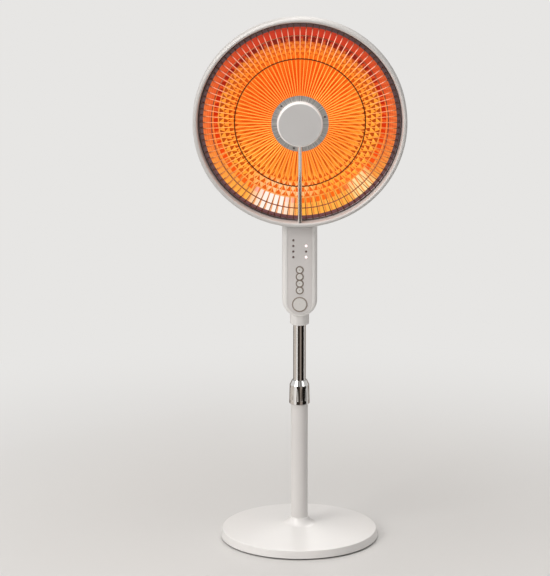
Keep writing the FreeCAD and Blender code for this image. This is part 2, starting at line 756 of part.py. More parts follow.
def housing_half(label, depth, inside, to_front):
    """One half of the housing: padded outline, rounded rim, hollow, screw posts
    and the swivel seat in its underside."""
    body = new_body(label)
    outline = new_sketch(body, label + "_outline", "XZ_Plane")
    draw_outline(outline, HOUSING_OUTLINE, HOUSING_ARCS)
    pad = add_pad(body, label + "_pad", outline, depth, reverse=not to_front)
    face = value(depth) * (-1 if to_front else 1)
    round_edges(body, label + "_rim", pad, "housing_edge_round",
                lambda edge: all(abs(corner.Y - face) < 1e-6 for corner in edge.Vertexes))
    cavity = new_sketch(body, label + "_cavity_outline", "XZ_Plane")
    draw_outline(cavity, CAVITY_OUTLINE, CAVITY_ARCS)
    add_pocket(body, label + "_cavity", cavity, inside, reverse=to_front)
    posts = new_sketch(body, label + "_posts_outline", "XZ_Plane")
    draw_circles(posts, [(u, v, "housing_post_radius") for u, v in POSTS])
    add_pad(body, label + "_posts", posts, inside, reverse=not to_front)
    for name, radius, bottom, height in (
            ("recess", "neck_radius + part_gap", HOUSING_BOTTOM, "neck_recess"),
            ("journal", "neck_spigot_radius + running_fit", SWIVEL_SEAT, "2 * housing_floor")):
        seat = new_sketch(body, f"{label}_{name}_outline", "XY_Plane", bottom)
        draw_circles(seat, [("0", "0", radius)])
        add_pocket(body, f"{label}_{name}", seat, height, reverse=True)
    return body


PANEL_BOTTOM = f"({HOUSING_BOTTOM} + panel_rise)"
PANEL_CENTRE = f"({PANEL_BOTTOM} + panel_half_width)"
PANEL_TOP = f"({HOUSING_TOP} - panel_drop)"
POWER_HEIGHT = f"({HOUSING_BOTTOM} + power_button_rise)"


def button_height(index):
    return f"({HOUSING_BOTTOM} + small_button_rise + {index} * small_button_pitch)"


def lens_height(row):
    return f"({HOUSING_BOTTOM} + lens_rise + {row} * lens_pitch)"


LENSES = [("-lens_side", lens_height(row)) for row in range(LENS_ROWS)]
LENSES += [("lens_side", lens_height(row)) for row in range(LENS_ROWS - 1)]
LIT_LENSES = {("lens_side", lens_height(0)), ("lens_side", lens_height(LENS_ROWS - 2))}


def panel_outline(margin):
    """U outline of the fascia, widened all round by a margin."""
    half = f"(panel_half_width + {margin})"
    return [
        (f"-{half}", f"{PANEL_TOP} + {margin}"),
        (f"-{half}", PANEL_CENTRE),
        ("0", f"{PANEL_BOTTOM} - {margin}"),
        (half, PANEL_CENTRE),
        (half, f"{PANEL_TOP} + {margin}"),
    ], {1: (half, 1), 2: (half, 1)}


CONTROL_HOLES = [("0", button_height(index), "small_button_radius + button_fit")
                 for index in range(len(SMALL_BUTTONS))]
CONTROL_HOLES += [("0", POWER_HEIGHT, "power_button_radius + button_fit")]
CONTROL_HOLES += [(u, v, "lens_radius + panel_fit") for u, v in LENSES]
BOARD_POSTS = [(side + "board_post_side", height) for side in ("-", "") for height in (
    f"({HOUSING_BOTTOM} + board_post_low)", f"({HOUSING_TOP} - board_post_drop)")]
BOARD_FRONT = "(housing_depth_front - board_setback)"

# Front half: recess for the fascia, holes for the controls, posts for the circuit board
housing_front = housing_half("housing_front", "housing_depth_front", FRONT_INSIDE, True)
recess_sketch = new_sketch(housing_front, "panel_recess_outline", "XZ_Plane", "housing_depth_front")
draw_outline(recess_sketch, *panel_outline("panel_fit"))
add_pocket(housing_front, "panel_recess", recess_sketch, "panel_thickness")
hole_sketch = new_sketch(housing_front, "control_holes_outline", "XZ_Plane", "housing_depth_front")
draw_circles(hole_sketch, CONTROL_HOLES)
add_pocket(housing_front, "control_holes", hole_sketch, "housing_front_wall + part_gap")
board_sketch = new_sketch(housing_front, "board_posts_outline", "XZ_Plane", BOARD_FRONT)
draw_circles(board_sketch, [(u, v, "board_post_radius") for u, v in BOARD_POSTS])
add_pad(housing_front, "board_posts", board_sketch, "board_setback - panel_thickness")
bite_sketch = new_sketch(housing_front, "screw_bite_outline", "XZ_Plane")
draw_circles(bite_sketch, [(u, v, "housing_screw_radius + seat_fit") for u, v in POSTS])
add_pocket(housing_front, "screw_bite", bite_sketch, "housing_screw_bite + part_gap", reverse=True)
piece(housing_front, "housing_front")

# Rear half: sunk screw holes, motor shelf, cord opening and the two ears of the tilt joint
housing_rear = housing_half("housing_rear", "housing_depth_rear", REAR_INSIDE, False)
shelf_sketch = new_sketch(
    housing_rear, "shelf_outline", "XZ_Plane", "-housing_depth_rear + housing_edge_round")
draw_outline(shelf_sketch, rectangle(
    f"{SHAFT_SIDE} - motor_offset - motor_radius", MOTOR_TOP, INNER_HALF, f"{MOTOR_TOP} + motor_shelf"))
add_pad(housing_rear, "shelf", shelf_sketch, "housing_depth_rear - housing_edge_round + motor_radius / 2")
ear_sketch = new_sketch(housing_rear, "ear_outline", "YZ_Plane", "ear_inner")
draw_outline(ear_sketch, [
    ("tilt_back - ear_radius", f"{HOUSING_TOP} - housing_wall"),
    ("tilt_back + ear_radius", f"{HOUSING_TOP} - housing_wall"),
    ("tilt_back + ear_radius", TILT_HEIGHT),
    ("tilt_back", f"{TILT_HEIGHT} + ear_radius"),
    ("tilt_back - ear_radius", TILT_HEIGHT),
], {2: ("ear_radius", 1), 3: ("ear_radius", 1)})
ear = add_pad(housing_rear, "ear", ear_sketch, "ear_thickness")
ear_mirror = housing_rear.newObject("PartDesign::Mirrored", "ears")
ear_mirror.Originals = [ear]
ear_mirror.MirrorPlane = (origin_feature(housing_rear, "YZ_Plane"), [""])
housing_rear.Tip = ear_mirror
eye_sketch = new_sketch(housing_rear, "eye_outline", "YZ_Plane", "-ear_inner - 2 * ear_thickness")
draw_circles(eye_sketch, [("tilt_back", TILT_HEIGHT, "tilt_bolt_radius + seat_fit")])
add_pocket(housing_rear, "eyes", eye_sketch, "2 * ear_inner + 4 * ear_thickness", reverse=True)
SCREW_SEAT = "housing_screw_grip"
shank_sketch = new_sketch(housing_rear, "screw_shank_outline", "XZ_Plane")
draw_circles(shank_sketch, [(u, v, "housing_screw_radius + bolt_clearance") for u, v in POSTS])
add_pocket(housing_rear, "screw_shanks", shank_sketch, "housing_depth_rear")
head_sketch = new_sketch(housing_rear, "screw_head_outline", "XZ_Plane", f"-{SCREW_SEAT}")
draw_circles(head_sketch, [(u, v, "housing_screw_head_radius + bolt_clearance") for u, v in POSTS])
add_pocket(housing_rear, "screw_heads", head_sketch, "housing_depth_rear")
GLAND_HEIGHT = f"({HOUSING_BOTTOM} + gland_rise)"
gland_sketch = new_sketch(housing_rear, "gland_outline", "XZ_Plane", f"-{REAR_INSIDE} + part_gap")
draw_circles(gland_sketch, [("0", GLAND_HEIGHT, "gland_neck_radius + panel_fit")])
add_pocket(housing_rear, "gland_hole", gland_sketch, "housing_depth_rear")
piece(housing_rear, "housing_rear")

# Screws that draw the two halves together from the rear
screws = []
for number, (u, v) in enumerate(POSTS):
    shank = cylinder(
        f"housing_shank_{number}", "housing_screw_radius", "housing_screw_grip + housing_screw_bite",
        x=u, y=SCREW_SEAT, z=v, along="-Y")
    head = cylinder(
        f"housing_head_{number}", "housing_screw_head_radius", "housing_screw_head_height",
        x=u, y=SCREW_SEAT, z=v, along="Y")
    screws.append(fuse(f"housing_screw_{number}", [shank, head]))
piece(group("housing_screw_group", screws), "housing_screws")

# Rubber gland in the cord opening
turned("cord_gland", "Y", [
    (f"{REAR_INSIDE} - gland_flange", "gland_bore"),
    (f"{REAR_INSIDE} - gland_flange", "gland_flange_radius"),
    (REAR_INSIDE, "gland_flange_radius"),
    (REAR_INSIDE, "gland_neck_radius"),
    ("housing_depth_rear", "gland_neck_radius"),
    ("housing_depth_rear", "gland_flange_radius"),
    ("housing_depth_rear + gland_flange", "gland_flange_radius - gland_flange / 2"),
    ("housing_depth_rear + gland_flange", "gland_bore"),
], z=GLAND_HEIGHT)

# Fascia let into the front half
fascia = new_body("control_panel")
fascia_sketch = new_sketch(fascia, "fascia_outline", "XZ_Plane", "housing_depth_front - panel_thickness")
draw_outline(fascia_sketch, *panel_outline("0"))
add_pad(fascia, "fascia_pad", fascia_sketch, "panel_thickness")
fascia_holes = new_sketch(fascia, "fascia_holes_outline", "XZ_Plane", "housing_depth_front")
draw_circles(fascia_holes, CONTROL_HOLES)
add_pocket(fascia, "fascia_holes", fascia_holes, "2 * panel_thickness")
piece(fascia, "control_panel")

# Trim rings: a chain round the four small buttons and one round the power button
PANEL_FRONT = "-housing_depth_front"
SMALL_HOLE = "(small_button_radius + button_fit)"
POWER_HOLE = "(power_button_radius + button_fit)"


def bezel(label, heights, hole):
    discs = [cylinder(f"{label}_disc_{number}", f"{hole} + bezel_width", "bezel_height",
                      y=PANEL_FRONT, z=height, along="-Y") for number, height in enumerate(heights)]
    holes = [cylinder(f"{label}_hole_{number}", hole, "3 * bezel_height",
                      y=f"{PANEL_FRONT} + bezel_height", z=height, along="-Y")
             for number, height in enumerate(heights)]
    outside = fuse(label + "_outside", discs) if len(discs) > 1 else discs[0]
    inside = group(label + "_inside", holes) if len(holes) > 1 else holes[0]
    return piece(cut(label + "_trim", outside, inside), label)


bezel("button_trim", [button_height(index) for index in range(len(SMALL_BUTTONS))], SMALL_HOLE)
bezel("power_trim", [POWER_HEIGHT], POWER_HOLE)

# Push buttons: dished caps held behind the front wall by a flange
BUTTON_STOP = "(housing_front_wall + seat_fit)"


def push_button(label, radius, height):
    return turned(label, "Y", [
        ("button_dish - button_proud", "0"),
        ("-button_proud", f"{radius} - button_dish"),
        ("button_dish - button_proud", radius),
        (BUTTON_STOP, radius),
        (BUTTON_STOP, f"{radius} + button_flange"),
        (f"{BUTTON_STOP} + button_flange_thickness", f"{radius} + button_flange"),
        (f"{BUTTON_STOP} + button_flange_thickness", "0"),
    ], y=PANEL_FRONT, z=height)


for index, label in enumerate(SMALL_BUTTONS):
    push_button(label, "small_button_radius", button_height(index))
push_button("power_button", "power_button_radius", POWER_HEIGHT)

# Indicator light pipes in the fascia, two of them lit
lit = []
dark = []
for number, (u, v) in enumerate(LENSES):
    lens = cylinder(f"lens_{number}", "lens_radius", "lens_length", x=u, y=PANEL_FRONT, z=v, along="Y")
    (lit if (u, v) in LIT_LENSES else dark).append(lens)
piece(group("lit_lenses", lit), "indicator_lenses_lit")
piece(group("dark_lenses", dark), "indicator_lenses_dark")

# Circuit board on its posts, with the switches, indicator lamps and relays that it carries
BOARD_BOTTOM = f"({HOUSING_BOTTOM} + board_rise)"
BOARD_TOP = f"({HOUSING_TOP} - board_drop)"
BOARD_BACK = f"({BOARD_FRONT} - board_thickness)"
piece(box("board", "2 * board_half_width", "board_thickness", f"{BOARD_TOP} - {BOARD_BOTTOM}",
          x="-board_half_width", y=f"-{BOARD_FRONT}", z=BOARD_BOTTOM), "circuit_board")
PLUNGER = ("(board_setback - switch_body - housing_front_wall - seat_fit"
           " - button_flange_thickness - button_travel - running_fit)")
switches = []
switch_heights = [button_height(index) for index in range(len(SMALL_BUTTONS))] + [POWER_HEIGHT]
for number, height in enumerate(switch_heights):
    base = box(f"switch_base_{number}", "switch_side", "switch_body", "switch_side",
               x="-switch_side / 2", y=f"-{BOARD_FRONT} - switch_body", z=f"{height} - switch_side / 2")
    stem = cylinder(f"switch_stem_{number}", "plunger_radius", PLUNGER,
                    y=f"-{BOARD_FRONT} - switch_body", z=height, along="-Y")
    switches.append(fuse(f"switch_{number}", [base, stem]))
piece(group("switch_group", switches), "tact_switches")
LED_LENGTH = "(board_setback - lens_length - led_gap)"
leds = [cylinder(f"led_{number}", "led_radius", LED_LENGTH, x=u, y=f"-{BOARD_FRONT}", z=v, along="-Y")
        for number, (u, v) in enumerate(LENSES)]
piece(group("led_group", leds), "indicator_leds")
RELAY_BOTTOM = f"({HOUSING_TOP} - relay_drop)"
relays = []
for side, x in (("left", "-relay_width - 1.5"), ("right", "1.5")):
    relays.append(box(f"relay_{side}", "relay_width", "relay_depth", "relay_height",
                      x=x, y=f"-{BOARD_BACK}", z=RELAY_BOTTOM))
piece(group("relay_group", relays), "power_relays")

# Tip-over switch on the rear wall: cuts the power when the heater leans
piece(box("tip_switch", "tip_switch_width", "tip_switch_depth", "tip_switch_height",
          x="-tip_switch_width / 2", y=f"{REAR_INSIDE} - tip_switch_depth",
          z=f"{HOUSING_BOTTOM} + tip_switch_rise"), "tip_over_switch")

# Tilt bolt through both ears, with its nut and two friction washers
EAR_OUTER = "(ear_inner + ear_thickness)"
tilt_shank = cylinder(
    "tilt_shank", "tilt_bolt_radius", f"2 * {EAR_OUTER} + tilt_bolt_head_height",
    x=f"-{EAR_OUTER}", y="tilt_back", z=TILT_HEIGHT, along="X")
tilt_head = cylinder(
    "tilt_head", "tilt_bolt_head_radius", "tilt_bolt_head_height",
    x=f"-{EAR_OUTER} - tilt_bolt_head_height", y="tilt_back", z=TILT_HEIGHT, along="X")
piece(fuse("tilt_bolt_solid", [tilt_shank, tilt_head]), "tilt_bolt")
nut_body = doc.addObject("Part::Prism", "nut_body")
nut_body.Polygon = HEX_SIDES
bind(nut_body, "Circumradius", "tilt_bolt_head_radius")
bind(nut_body, "Height", "tilt_bolt_head_height")
nut_body.Placement = Placement(Vector(), TURNS["X"])
place(nut_body, EAR_OUTER, "tilt_back", TILT_HEIGHT)
nut_bore = cylinder("nut_bore", "tilt_bolt_radius + seat_fit", "3 * tilt_bolt_head_height",
                    x=f"{EAR_OUTER} - tilt_bolt_head_height", y="tilt_back", z=TILT_HEIGHT, along="X")
piece(cut("nut", nut_body, nut_bore), "tilt_nut")
washers = []
for side, x in (("left", "-knuckle_half_width - tilt_washer_thickness"), ("right", "knuckle_half_width")):
    disc = cylinder(f"washer_disc_{side}", "tilt_washer_radius", "tilt_washer_thickness",
                    x=x, y="tilt_back", z=TILT_HEIGHT, along="X")
    bore = cylinder(f"washer_bore_{side}", "tilt_bolt_radius + running_fit", "tilt_washer_thickness",
                    x=x, y="tilt_back", z=TILT_HEIGHT, along="X")
    washers.append(cut(f"washer_{side}", disc, bore))
piece(group("washer_group", washers), "tilt_washers")

# Rear shell of the head: pressed dish with a flange in front and a ring of vent slots behind
SEAT = "(seat_depth - ring_front)"
FLANGE_BACK = f"({SEAT} + flange_thickness)"
WAIST = f"({SEAT} + shell_waist_depth)"
SHELL_BACK = f"({SEAT} + shell_depth)"
FLANGE_OUTER = "(ring_radius - ring_wall - part_gap)"
FLANGE_INNER = "(ring_radius - flange_inset)"
SHELL_WAIST = "(ring_radius - waist_inset)"
SHELL_FRONT_PATH = [
    (SEAT, FLANGE_OUTER),
    (FLANGE_BACK, FLANGE_OUTER),
    (FLANGE_BACK, "ring_radius - shell_inset"),
    (WAIST, SHELL_WAIST),
    (SHELL_BACK, "shell_back_radius"),
    (SHELL_BACK, "0"),
]
rear_shell = new_body("rear_shell", z=HEAD_CENTRE)
add_turned(rear_shell, "shell_turned", "Y", [(SEAT, FLANGE_INNER)] + SHELL_FRONT_PATH + [
    (f"{SHELL_BACK} - shell_wall", "0"),
    (f"{SHELL_BACK} - shell_wall", "shell_back_radius - shell_wall / 2"),
    (WAIST, f"{SHELL_WAIST} - shell_wall"),
    (FLANGE_BACK, f"{SHELL_WAIST} - shell_wall"),
    (FLANGE_BACK, FLANGE_INNER),
], {4: ("shell_curve", -1), 8: ("shell_curve - shell_wall", 1)})
vent_sketch = new_sketch(rear_shell, "vent_outline", "XZ_Plane")
draw_outline(vent_sketch, rectangle(
    "-vent_width / 2", "shell_back_radius + vent_start", "vent_width / 2", f"{SHELL_WAIST} - vent_stop"))
vent = add_pocket(rear_shell, "vent", vent_sketch, "2 * shell_depth")
add_polar_copies(rear_shell, "vents", vent, "Y_Axis", VENT_SLOTS)
piece(rear_shell, "rear_shell")

# Tilt knuckle: moulded lug under the shell, shaped to its back, on the tilt bolt
shell_solid = new_body("shell_solid", z=HEAD_CENTRE)
add_turned(shell_solid, "shell_solid_turned", "Y", [(SEAT, "0")] + SHELL_FRONT_PATH, {4: ("shell_curve", -1)})
knuckle_body = new_body("knuckle_body")
knuckle_sketch = new_sketch(knuckle_body, "knuckle_outline", "YZ_Plane", "-knuckle_half_width")
draw_outline(knuckle_sketch, [
    ("tilt_back + ear_radius", TILT_HEIGHT),
    ("tilt_back + ear_radius", f"{TILT_HEIGHT} + knuckle_shoulder"),
    ("tilt_back", f"{TILT_HEIGHT} + knuckle_rise"),
    (SEAT, f"{TILT_HEIGHT} + knuckle_rise"),
    (SEAT, TILT_HEIGHT),
    ("tilt_back - ear_radius", TILT_HEIGHT),
    ("tilt_back", f"{TILT_HEIGHT} - ear_radius"),
], {5: ("ear_radius", 1), 6: ("ear_radius", 1)})
add_pad(knuckle_body, "knuckle_pad", knuckle_sketch, "2 * knuckle_half_width")
knuckle_bore = new_sketch(knuckle_body, "knuckle_bore_outline", "YZ_Plane", "-2 * knuckle_half_width")
draw_circles(knuckle_bore, [("tilt_back", TILT_HEIGHT, "tilt_bolt_radius + running_fit")])
add_pocket(knuckle_body, "knuckle_bore", knuckle_bore, "4 * knuckle_half_width", reverse=True)
piece(cut("knuckle", knuckle_body, shell_solid), "tilt_knuckle")

# Front ring: white channel that closes the head and holds guard, reflector and shell together
NOSE_BACK = "(ring_nose - ring_front)"
NOSE_INNER = "(ring_radius - 2 * ring_nose)"
CHANNEL = f"({NOSE_BACK} + ring_wall)"
SKIRT = f"({NOSE_INNER} - ring_skirt_taper)"
turned("front_ring", "Y", [
    (NOSE_BACK, "ring_radius"),
    ("-ring_front", "ring_radius - ring_nose"),
    (NOSE_BACK, NOSE_INNER),
    (SEAT, SKIRT),
    (SEAT, f"{SKIRT} + ring_skirt_wall"),
    (CHANNEL, f"{NOSE_INNER} + ring_skirt_wall"),
    (CHANNEL, "ring_radius - ring_wall"),
    ("ring_depth - ring_front", "ring_radius - ring_wall"),
    ("ring_depth - ring_front", "ring_radius"),
], {0: ("ring_nose", 1), 1: ("ring_nose", 1)}, z=HEAD_CENTRE)

# Outer reflector band: polished flange and steep smooth wall, with the lip that the dish lies on
BAND_FRONT = f"({SEAT} - band_thickness)"
LIP_FRONT = f"({BAND_FRONT} + band_depth)"
BAND_OUTER = "(ring_radius - band_outer_inset)"
BAND_INNER = "(ring_radius - band_inner_inset)"
turned("reflector_band", "Y", [
    (BAND_FRONT, f"{SKIRT} - part_gap"),
    (BAND_FRONT, BAND_OUTER),
    (LIP_FRONT, BAND_INNER),
    (LIP_FRONT, f"{BAND_INNER} - band_lip"),
    (f"{LIP_FRONT} + band_thickness", f"{BAND_INNER} - band_lip"),
    (f"{LIP_FRONT} + band_thickness", f"{BAND_INNER} + band_thickness"),
    (SEAT, f"{BAND_OUTER} + band_thickness"),
    (SEAT, f"{SKIRT} - part_gap"),
], z=HEAD_CENTRE)


def ring_of_points(radius, depth, count, shift=0.0, relief=0.0):
    """Points round the dish axis. Every second one stands forward by the relief."""
    points = []
    for index in range(count):
        angle = 2 * math.pi * (index + shift) / count
        forward = relief if index % 2 else 0.0
        points.append(Vector(radius * math.cos(angle), depth - forward, radius * math.sin(angle)))
    return points


def bearing(point):
    return math.atan2(point.z, point.x) % (2 * math.pi)


def stitch(inner, outer):
    """Triangles between two rings of points, taken in turn round the axis."""
    faces = []
    rings = (sorted(inner, key=bearing), sorted(outer, key=bearing))
    spot = [0, 0]
    sizes = [len(inner), len(outer)]

    def corner(side, step):
        return rings[side][step % sizes[side]]

    def turn(side):
        whole, rest = divmod(spot[side] + 1, sizes[side])
        return bearing(rings[side][rest]) + 2 * math.pi * whole

    while spot[0] < sizes[0] or spot[1] < sizes[1]:
        side = 0 if spot[1] >= sizes[1] or (spot[0] < sizes[0] and turn(0) <= turn(1)) else 1
        corners = [corner(0, spot[0]), corner(1, spot[1]), corner(side, spot[side] + 1)]
        faces.append(Part.Face(Part.makePolygon(corners + corners[:1])))
        spot[side] += 1
    return faces


# Reflector dish: pressed mirror sheet with radial flutes inside and rows of triangular facets outside
def dish_rings():
    rim = value(f"{BAND_INNER} - part_gap")
    facet_outer = rim - value("dish_rim")
    facet_inner = facet_outer - value("facet_depth")
    front = value(f"{LIP_FRONT} - dish_thickness")
    fluted = 2 * DISH_SECTORS
    rings = [ring_of_points(rim, front, fluted), ring_of_points(facet_outer, front, fluted)]
    for row in range(1, FACET_ROWS):
        share = row / FACET_ROWS
        rings.append(ring_of_points(
            facet_outer - share * value("facet_depth"),
            front + share * value("facet_drop") - value("facet_relief"),
            DISH_SECTORS, shift=0.5 * (row % 2)))
    foot = front + value("facet_drop")
    rings.append(ring_of_points(facet_inner, foot, fluted))
    hub_depth = foot + value("flute_drop")
    span = facet_inner - value("flute_inner")
    flat = (facet_inner - value("dish_hub_radius")) / span
    for share in (0.1, 0.95):
        depth = foot + share * value("flute_drop")
        rings.append(ring_of_points(facet_inner - share * span, depth, fluted, relief=value("flute_relief")))
    rings.append(ring_of_points(value("dish_hub_radius"), foot + flat * value("flute_drop"), fluted))
    rings.append(ring_of_points(value("dish_hole_radius"), hub_depth, DISH_SECTORS))
    return rings


def dish_solid():
    front = dish_rings()
    thickness = Vector(0, value("dish_thickness"), 0)
    back = [[point + thickness for point in ring] for ring in front]
    faces = []
    for sheet_rings in (front, back):
        for outer, inner in zip(sheet_rings, sheet_rings[1:]):
            faces += stitch(inner, outer)
    for index in (0, -1):
        faces += stitch(front[index], back[index])
    shell = Part.makeShell(faces)
    shell.sewShape()
    solid = Part.makeSolid(shell)
    if solid.Volume < 0:
        solid.reverse()
    return solid


reflector_dish = doc.addObject("Part::Feature", "reflector_dish")
reflector_dish.Shape = dish_solid()
place(reflector_dish, z=HEAD_CENTRE)
piece(reflector_dish, "reflector_dish")


# Wire guard: bowed spokes welded to a hub ring, two middle rings and a heavy rim ring
def guard_solids():
    wire = value("wire_radius")
    rim_wire = value("guard_rim_wire")
    weld = value("weld_gap")
    rim_radius = value(f"{SKIRT} - part_gap") - rim_wire
    rim_depth = value(BAND_FRONT) - rim_wire - weld
    start = Vector(0, -value("guard_hub_front"), value("guard_hub_radius"))
    stop = Vector(0, rim_depth - rim_wire - wire - weld, rim_radius)
    chord = stop - start
    forward = Vector(0, -chord.z, chord.y).normalize()
    bow = Part.Arc(start, start + chord * 0.5 + forward * value("guard_crown"), stop).toShape()
    spoke_end = Part.Face(Part.Wire([Part.Circle(start, bow.tangentAt(bow.FirstParameter), wire).toShape()]))
    sweep = math.degrees(bow.LastParameter - bow.FirstParameter)
    centre = bow.Curve.Center
    spoke = spoke_end.revolve(centre, bow.Curve.Axis, sweep)
    solids = []
    for index in range(GUARD_WIRES):
        solids.append(spoke.rotated(Vector(), Vector(0, 1, 0), 360 * index / GUARD_WIRES))
    ring_wire = value("guard_ring_wire")
    hub_hoop = "guard_hub_radius + 2 * guard_ring_wire"
    for hoop in (hub_hoop, "ring_radius - mid_ring_inset", "ring_radius - outer_ring_inset"):
        radius = value(hoop)
        offset = radius - centre.z
        reach = bow.Curve.Radius - wire - ring_wire - weld
        depth = centre.y - math.sqrt(reach ** 2 - offset ** 2)
        solids.append(Part.makeTorus(radius, ring_wire, Vector(0, depth, 0), Vector(0, 1, 0)))
    solids.append(Part.makeTorus(rim_radius, rim_wire, Vector(0, rim_depth, 0), Vector(0, 1, 0)))
    return solids


front_guard = doc.addObject("Part::Feature", "front_guard")
front_guard.Shape = Part.makeCompound(guard_solids())
place(front_guard, z=HEAD_CENTRE)
piece(front_guard, "front_guard")

# Hub: aluminium plate over the guard's centre, with a moulded cap on it
PLATE_BACK = "(-guard_hub_front - wire_radius - part_gap)"
PLATE_FRONT = f"({PLATE_BACK} - hub_plate_thickness)"
CAP_FRONT = f"({PLATE_FRONT} - hub_cap_height)"
turned("hub_plate", "Y", rectangle(PLATE_FRONT, "0", PLATE_BACK, "hub_plate_radius"), z=HEAD_CENTRE)

# Stalk: chromed tube from the rim to the hub, in front of the spokes, that carries the lamp leads
STALK_TOP = "(hub_cap_radius - stalk_entry)"
STALK_FOOT = f"({NOSE_INNER} - 2 * part_gap)"
STALK_LIFT = f"({PLATE_FRONT} - stalk_hub_lift)"
stalk_slope = math.degrees(math.atan2(
    value(f"-stalk_rim_front - {STALK_LIFT}"), value(f"{STALK_FOOT} - {STALK_TOP}")))
STALK_LENGTH = (f"sqrt(({STALK_FOOT} - {STALK_TOP}) * ({STALK_FOOT} - {STALK_TOP})"
                f" + (-stalk_rim_front - {STALK_LIFT}) * (-stalk_rim_front - {STALK_LIFT}))")


def along_stalk(name, radius):
    rod = cylinder(name, radius, STALK_LENGTH)
    rod.Placement = turned_about(Vector(1, 0, 0), 180 + stalk_slope)
    return place(rod, y=STALK_LIFT, z=f"{HEAD_CENTRE} - {STALK_TOP}")


piece(cut("stalk", along_stalk("stalk_outside", "stalk_radius"),
          along_stalk("stalk_inside", "stalk_radius - stalk_wall")), "lamp_stalk")
cap_body = new_body("cap_body", z=HEAD_CENTRE)
add_turned(cap_body, "cap_turned", "Y", [
    (PLATE_FRONT, "hub_cap_radius"),
    (f"{CAP_FRONT} + hub_cap_edge", "hub_cap_radius"),
    (CAP_FRONT, "hub_cap_radius - hub_cap_edge"),
    (CAP_FRONT, "0"),
    (f"{CAP_FRONT} + hub_cap_wall", "0"),
    (f"{CAP_FRONT} + hub_cap_wall", "hub_cap_radius - hub_cap_edge"),
    (f"{CAP_FRONT} + hub_cap_edge", "hub_cap_radius - hub_cap_wall"),
    (PLATE_FRONT, "hub_cap_radius - hub_cap_wall"),
], {1: ("hub_cap_edge", 1)})
piece(cut("cap", cap_body, along_stalk("cap_notch", "stalk_radius + panel_fit")), "hub_cap")

# Lamp: ring of quartz tube with a carbon filament, on a ceramic disc behind the hub plate
CARRIER_BACK = f"({PLATE_BACK} + carrier_thickness)"
LAMP_DEPTH = f"({CARRIER_BACK} + lamp_standoff)"
turned("lamp_carrier", "Y", rectangle(PLATE_BACK, "0", CARRIER_BACK, "carrier_radius"), z=HEAD_CENTRE)


def lamp_arc(radius, bore=0.0):
    """Open ring about the dish axis, round section, with its gap at the bottom."""
    start = -90 + LAMP_GAP_DEGREES / 2
    spot = Vector(value("lamp_radius"), 0, 0)
    section = Part.Face(Part.Wire([Part.Circle(spot, Vector(0, 0, 1), radius).toShape()]))
    if bore > 0:
        section = section.cut(Part.Face(Part.Wire([Part.Circle(spot, Vector(0, 0, 1), bore).toShape()])))
    ring = section.revolve(Vector(), Vector(0, 1, 0), -(360 - LAMP_GAP_DEGREES))
    return ring.rotated(Vector(), Vector(0, 1, 0), -start)


def lamp_piece(label, shape):
    thing = doc.addObject("Part::Feature", label)
    thing.Shape = shape
    place(thing, y=LAMP_DEPTH, z=HEAD_CENTRE)
    return piece(thing, label)


lamp_bore = value("lamp_tube_radius - lamp_tube_wall")
lamp_piece("lamp_tube", lamp_arc(value("lamp_tube_radius"), lamp_bore))
lamp_piece("carbon_filament", lamp_arc(value("filament_radius")))
end_caps = []
for side in (-1, 1):
    angle = math.radians(-90 + side * LAMP_GAP_DEGREES / 2)
    tip = Vector(math.cos(angle), 0, math.sin(angle)) * value("lamp_radius")
    heading = Vector(math.sin(angle), 0, -math.cos(angle)) * side
    end_caps.append(Part.makeCylinder(value("lamp_cap_radius"), value("lamp_cap_length"), tip, heading))
lamp_piece("lamp_end_caps", Part.makeCompound(end_caps))
clips = []
clip_bore = value("lamp_tube_radius + part_gap")
clip_outside = clip_bore + value("clip_wall")
clip_length = value("clip_length")
for index in range(LAMP_CLIPS):
    start = Vector(value("lamp_radius"), 0, -clip_length / 2)
    upward = Vector(0, 0, 1)
    sleeve = Part.makeCylinder(clip_outside, clip_length, start, upward)
    sleeve = sleeve.cut(Part.makeCylinder(clip_bore, clip_length, start, upward))
    mouth_half = clip_outside * math.sin(math.radians(CLIP_MOUTH_DEGREES / 2))
    mouth = Part.makeBox(2 * mouth_half, 2 * clip_outside, clip_length, start - Vector(mouth_half, 0, 0))
    post = Part.makeCylinder(
        value("clip_post_radius"), value("lamp_standoff") - clip_bore - value("clip_wall") / 2,
        Vector(value("lamp_radius"), -value("lamp_standoff"), 0), Vector(0, 1, 0))
    clip = sleeve.cut(mouth).fuse(post)
    clips.append(clip.rotated(Vector(), Vector(0, 1, 0), -90 - 360 * index / LAMP_CLIPS))
lamp_piece("lamp_clips", Part.makeCompound(clips))

# Finished model: every object is sound before any file is written
doc.recompute()
for thing in doc.Objects:
    if "Invalid" in thing.State or "Error" in thing.State:
        raise RuntimeError(f"{thing.Label} did not build: {thing.State}")
os.makedirs("parts", exist_ok=True)
for thing in pieces:
    if thing.Shape.isNull() or not thing.Shape.isValid():
        raise RuntimeError(f"{thing.Label} has no sound shape")
for thing in pieces:
    thing.Shape.exportStep(f"parts/{thing.Label}.step")
print(len(pieces), "pieces")
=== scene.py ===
import math

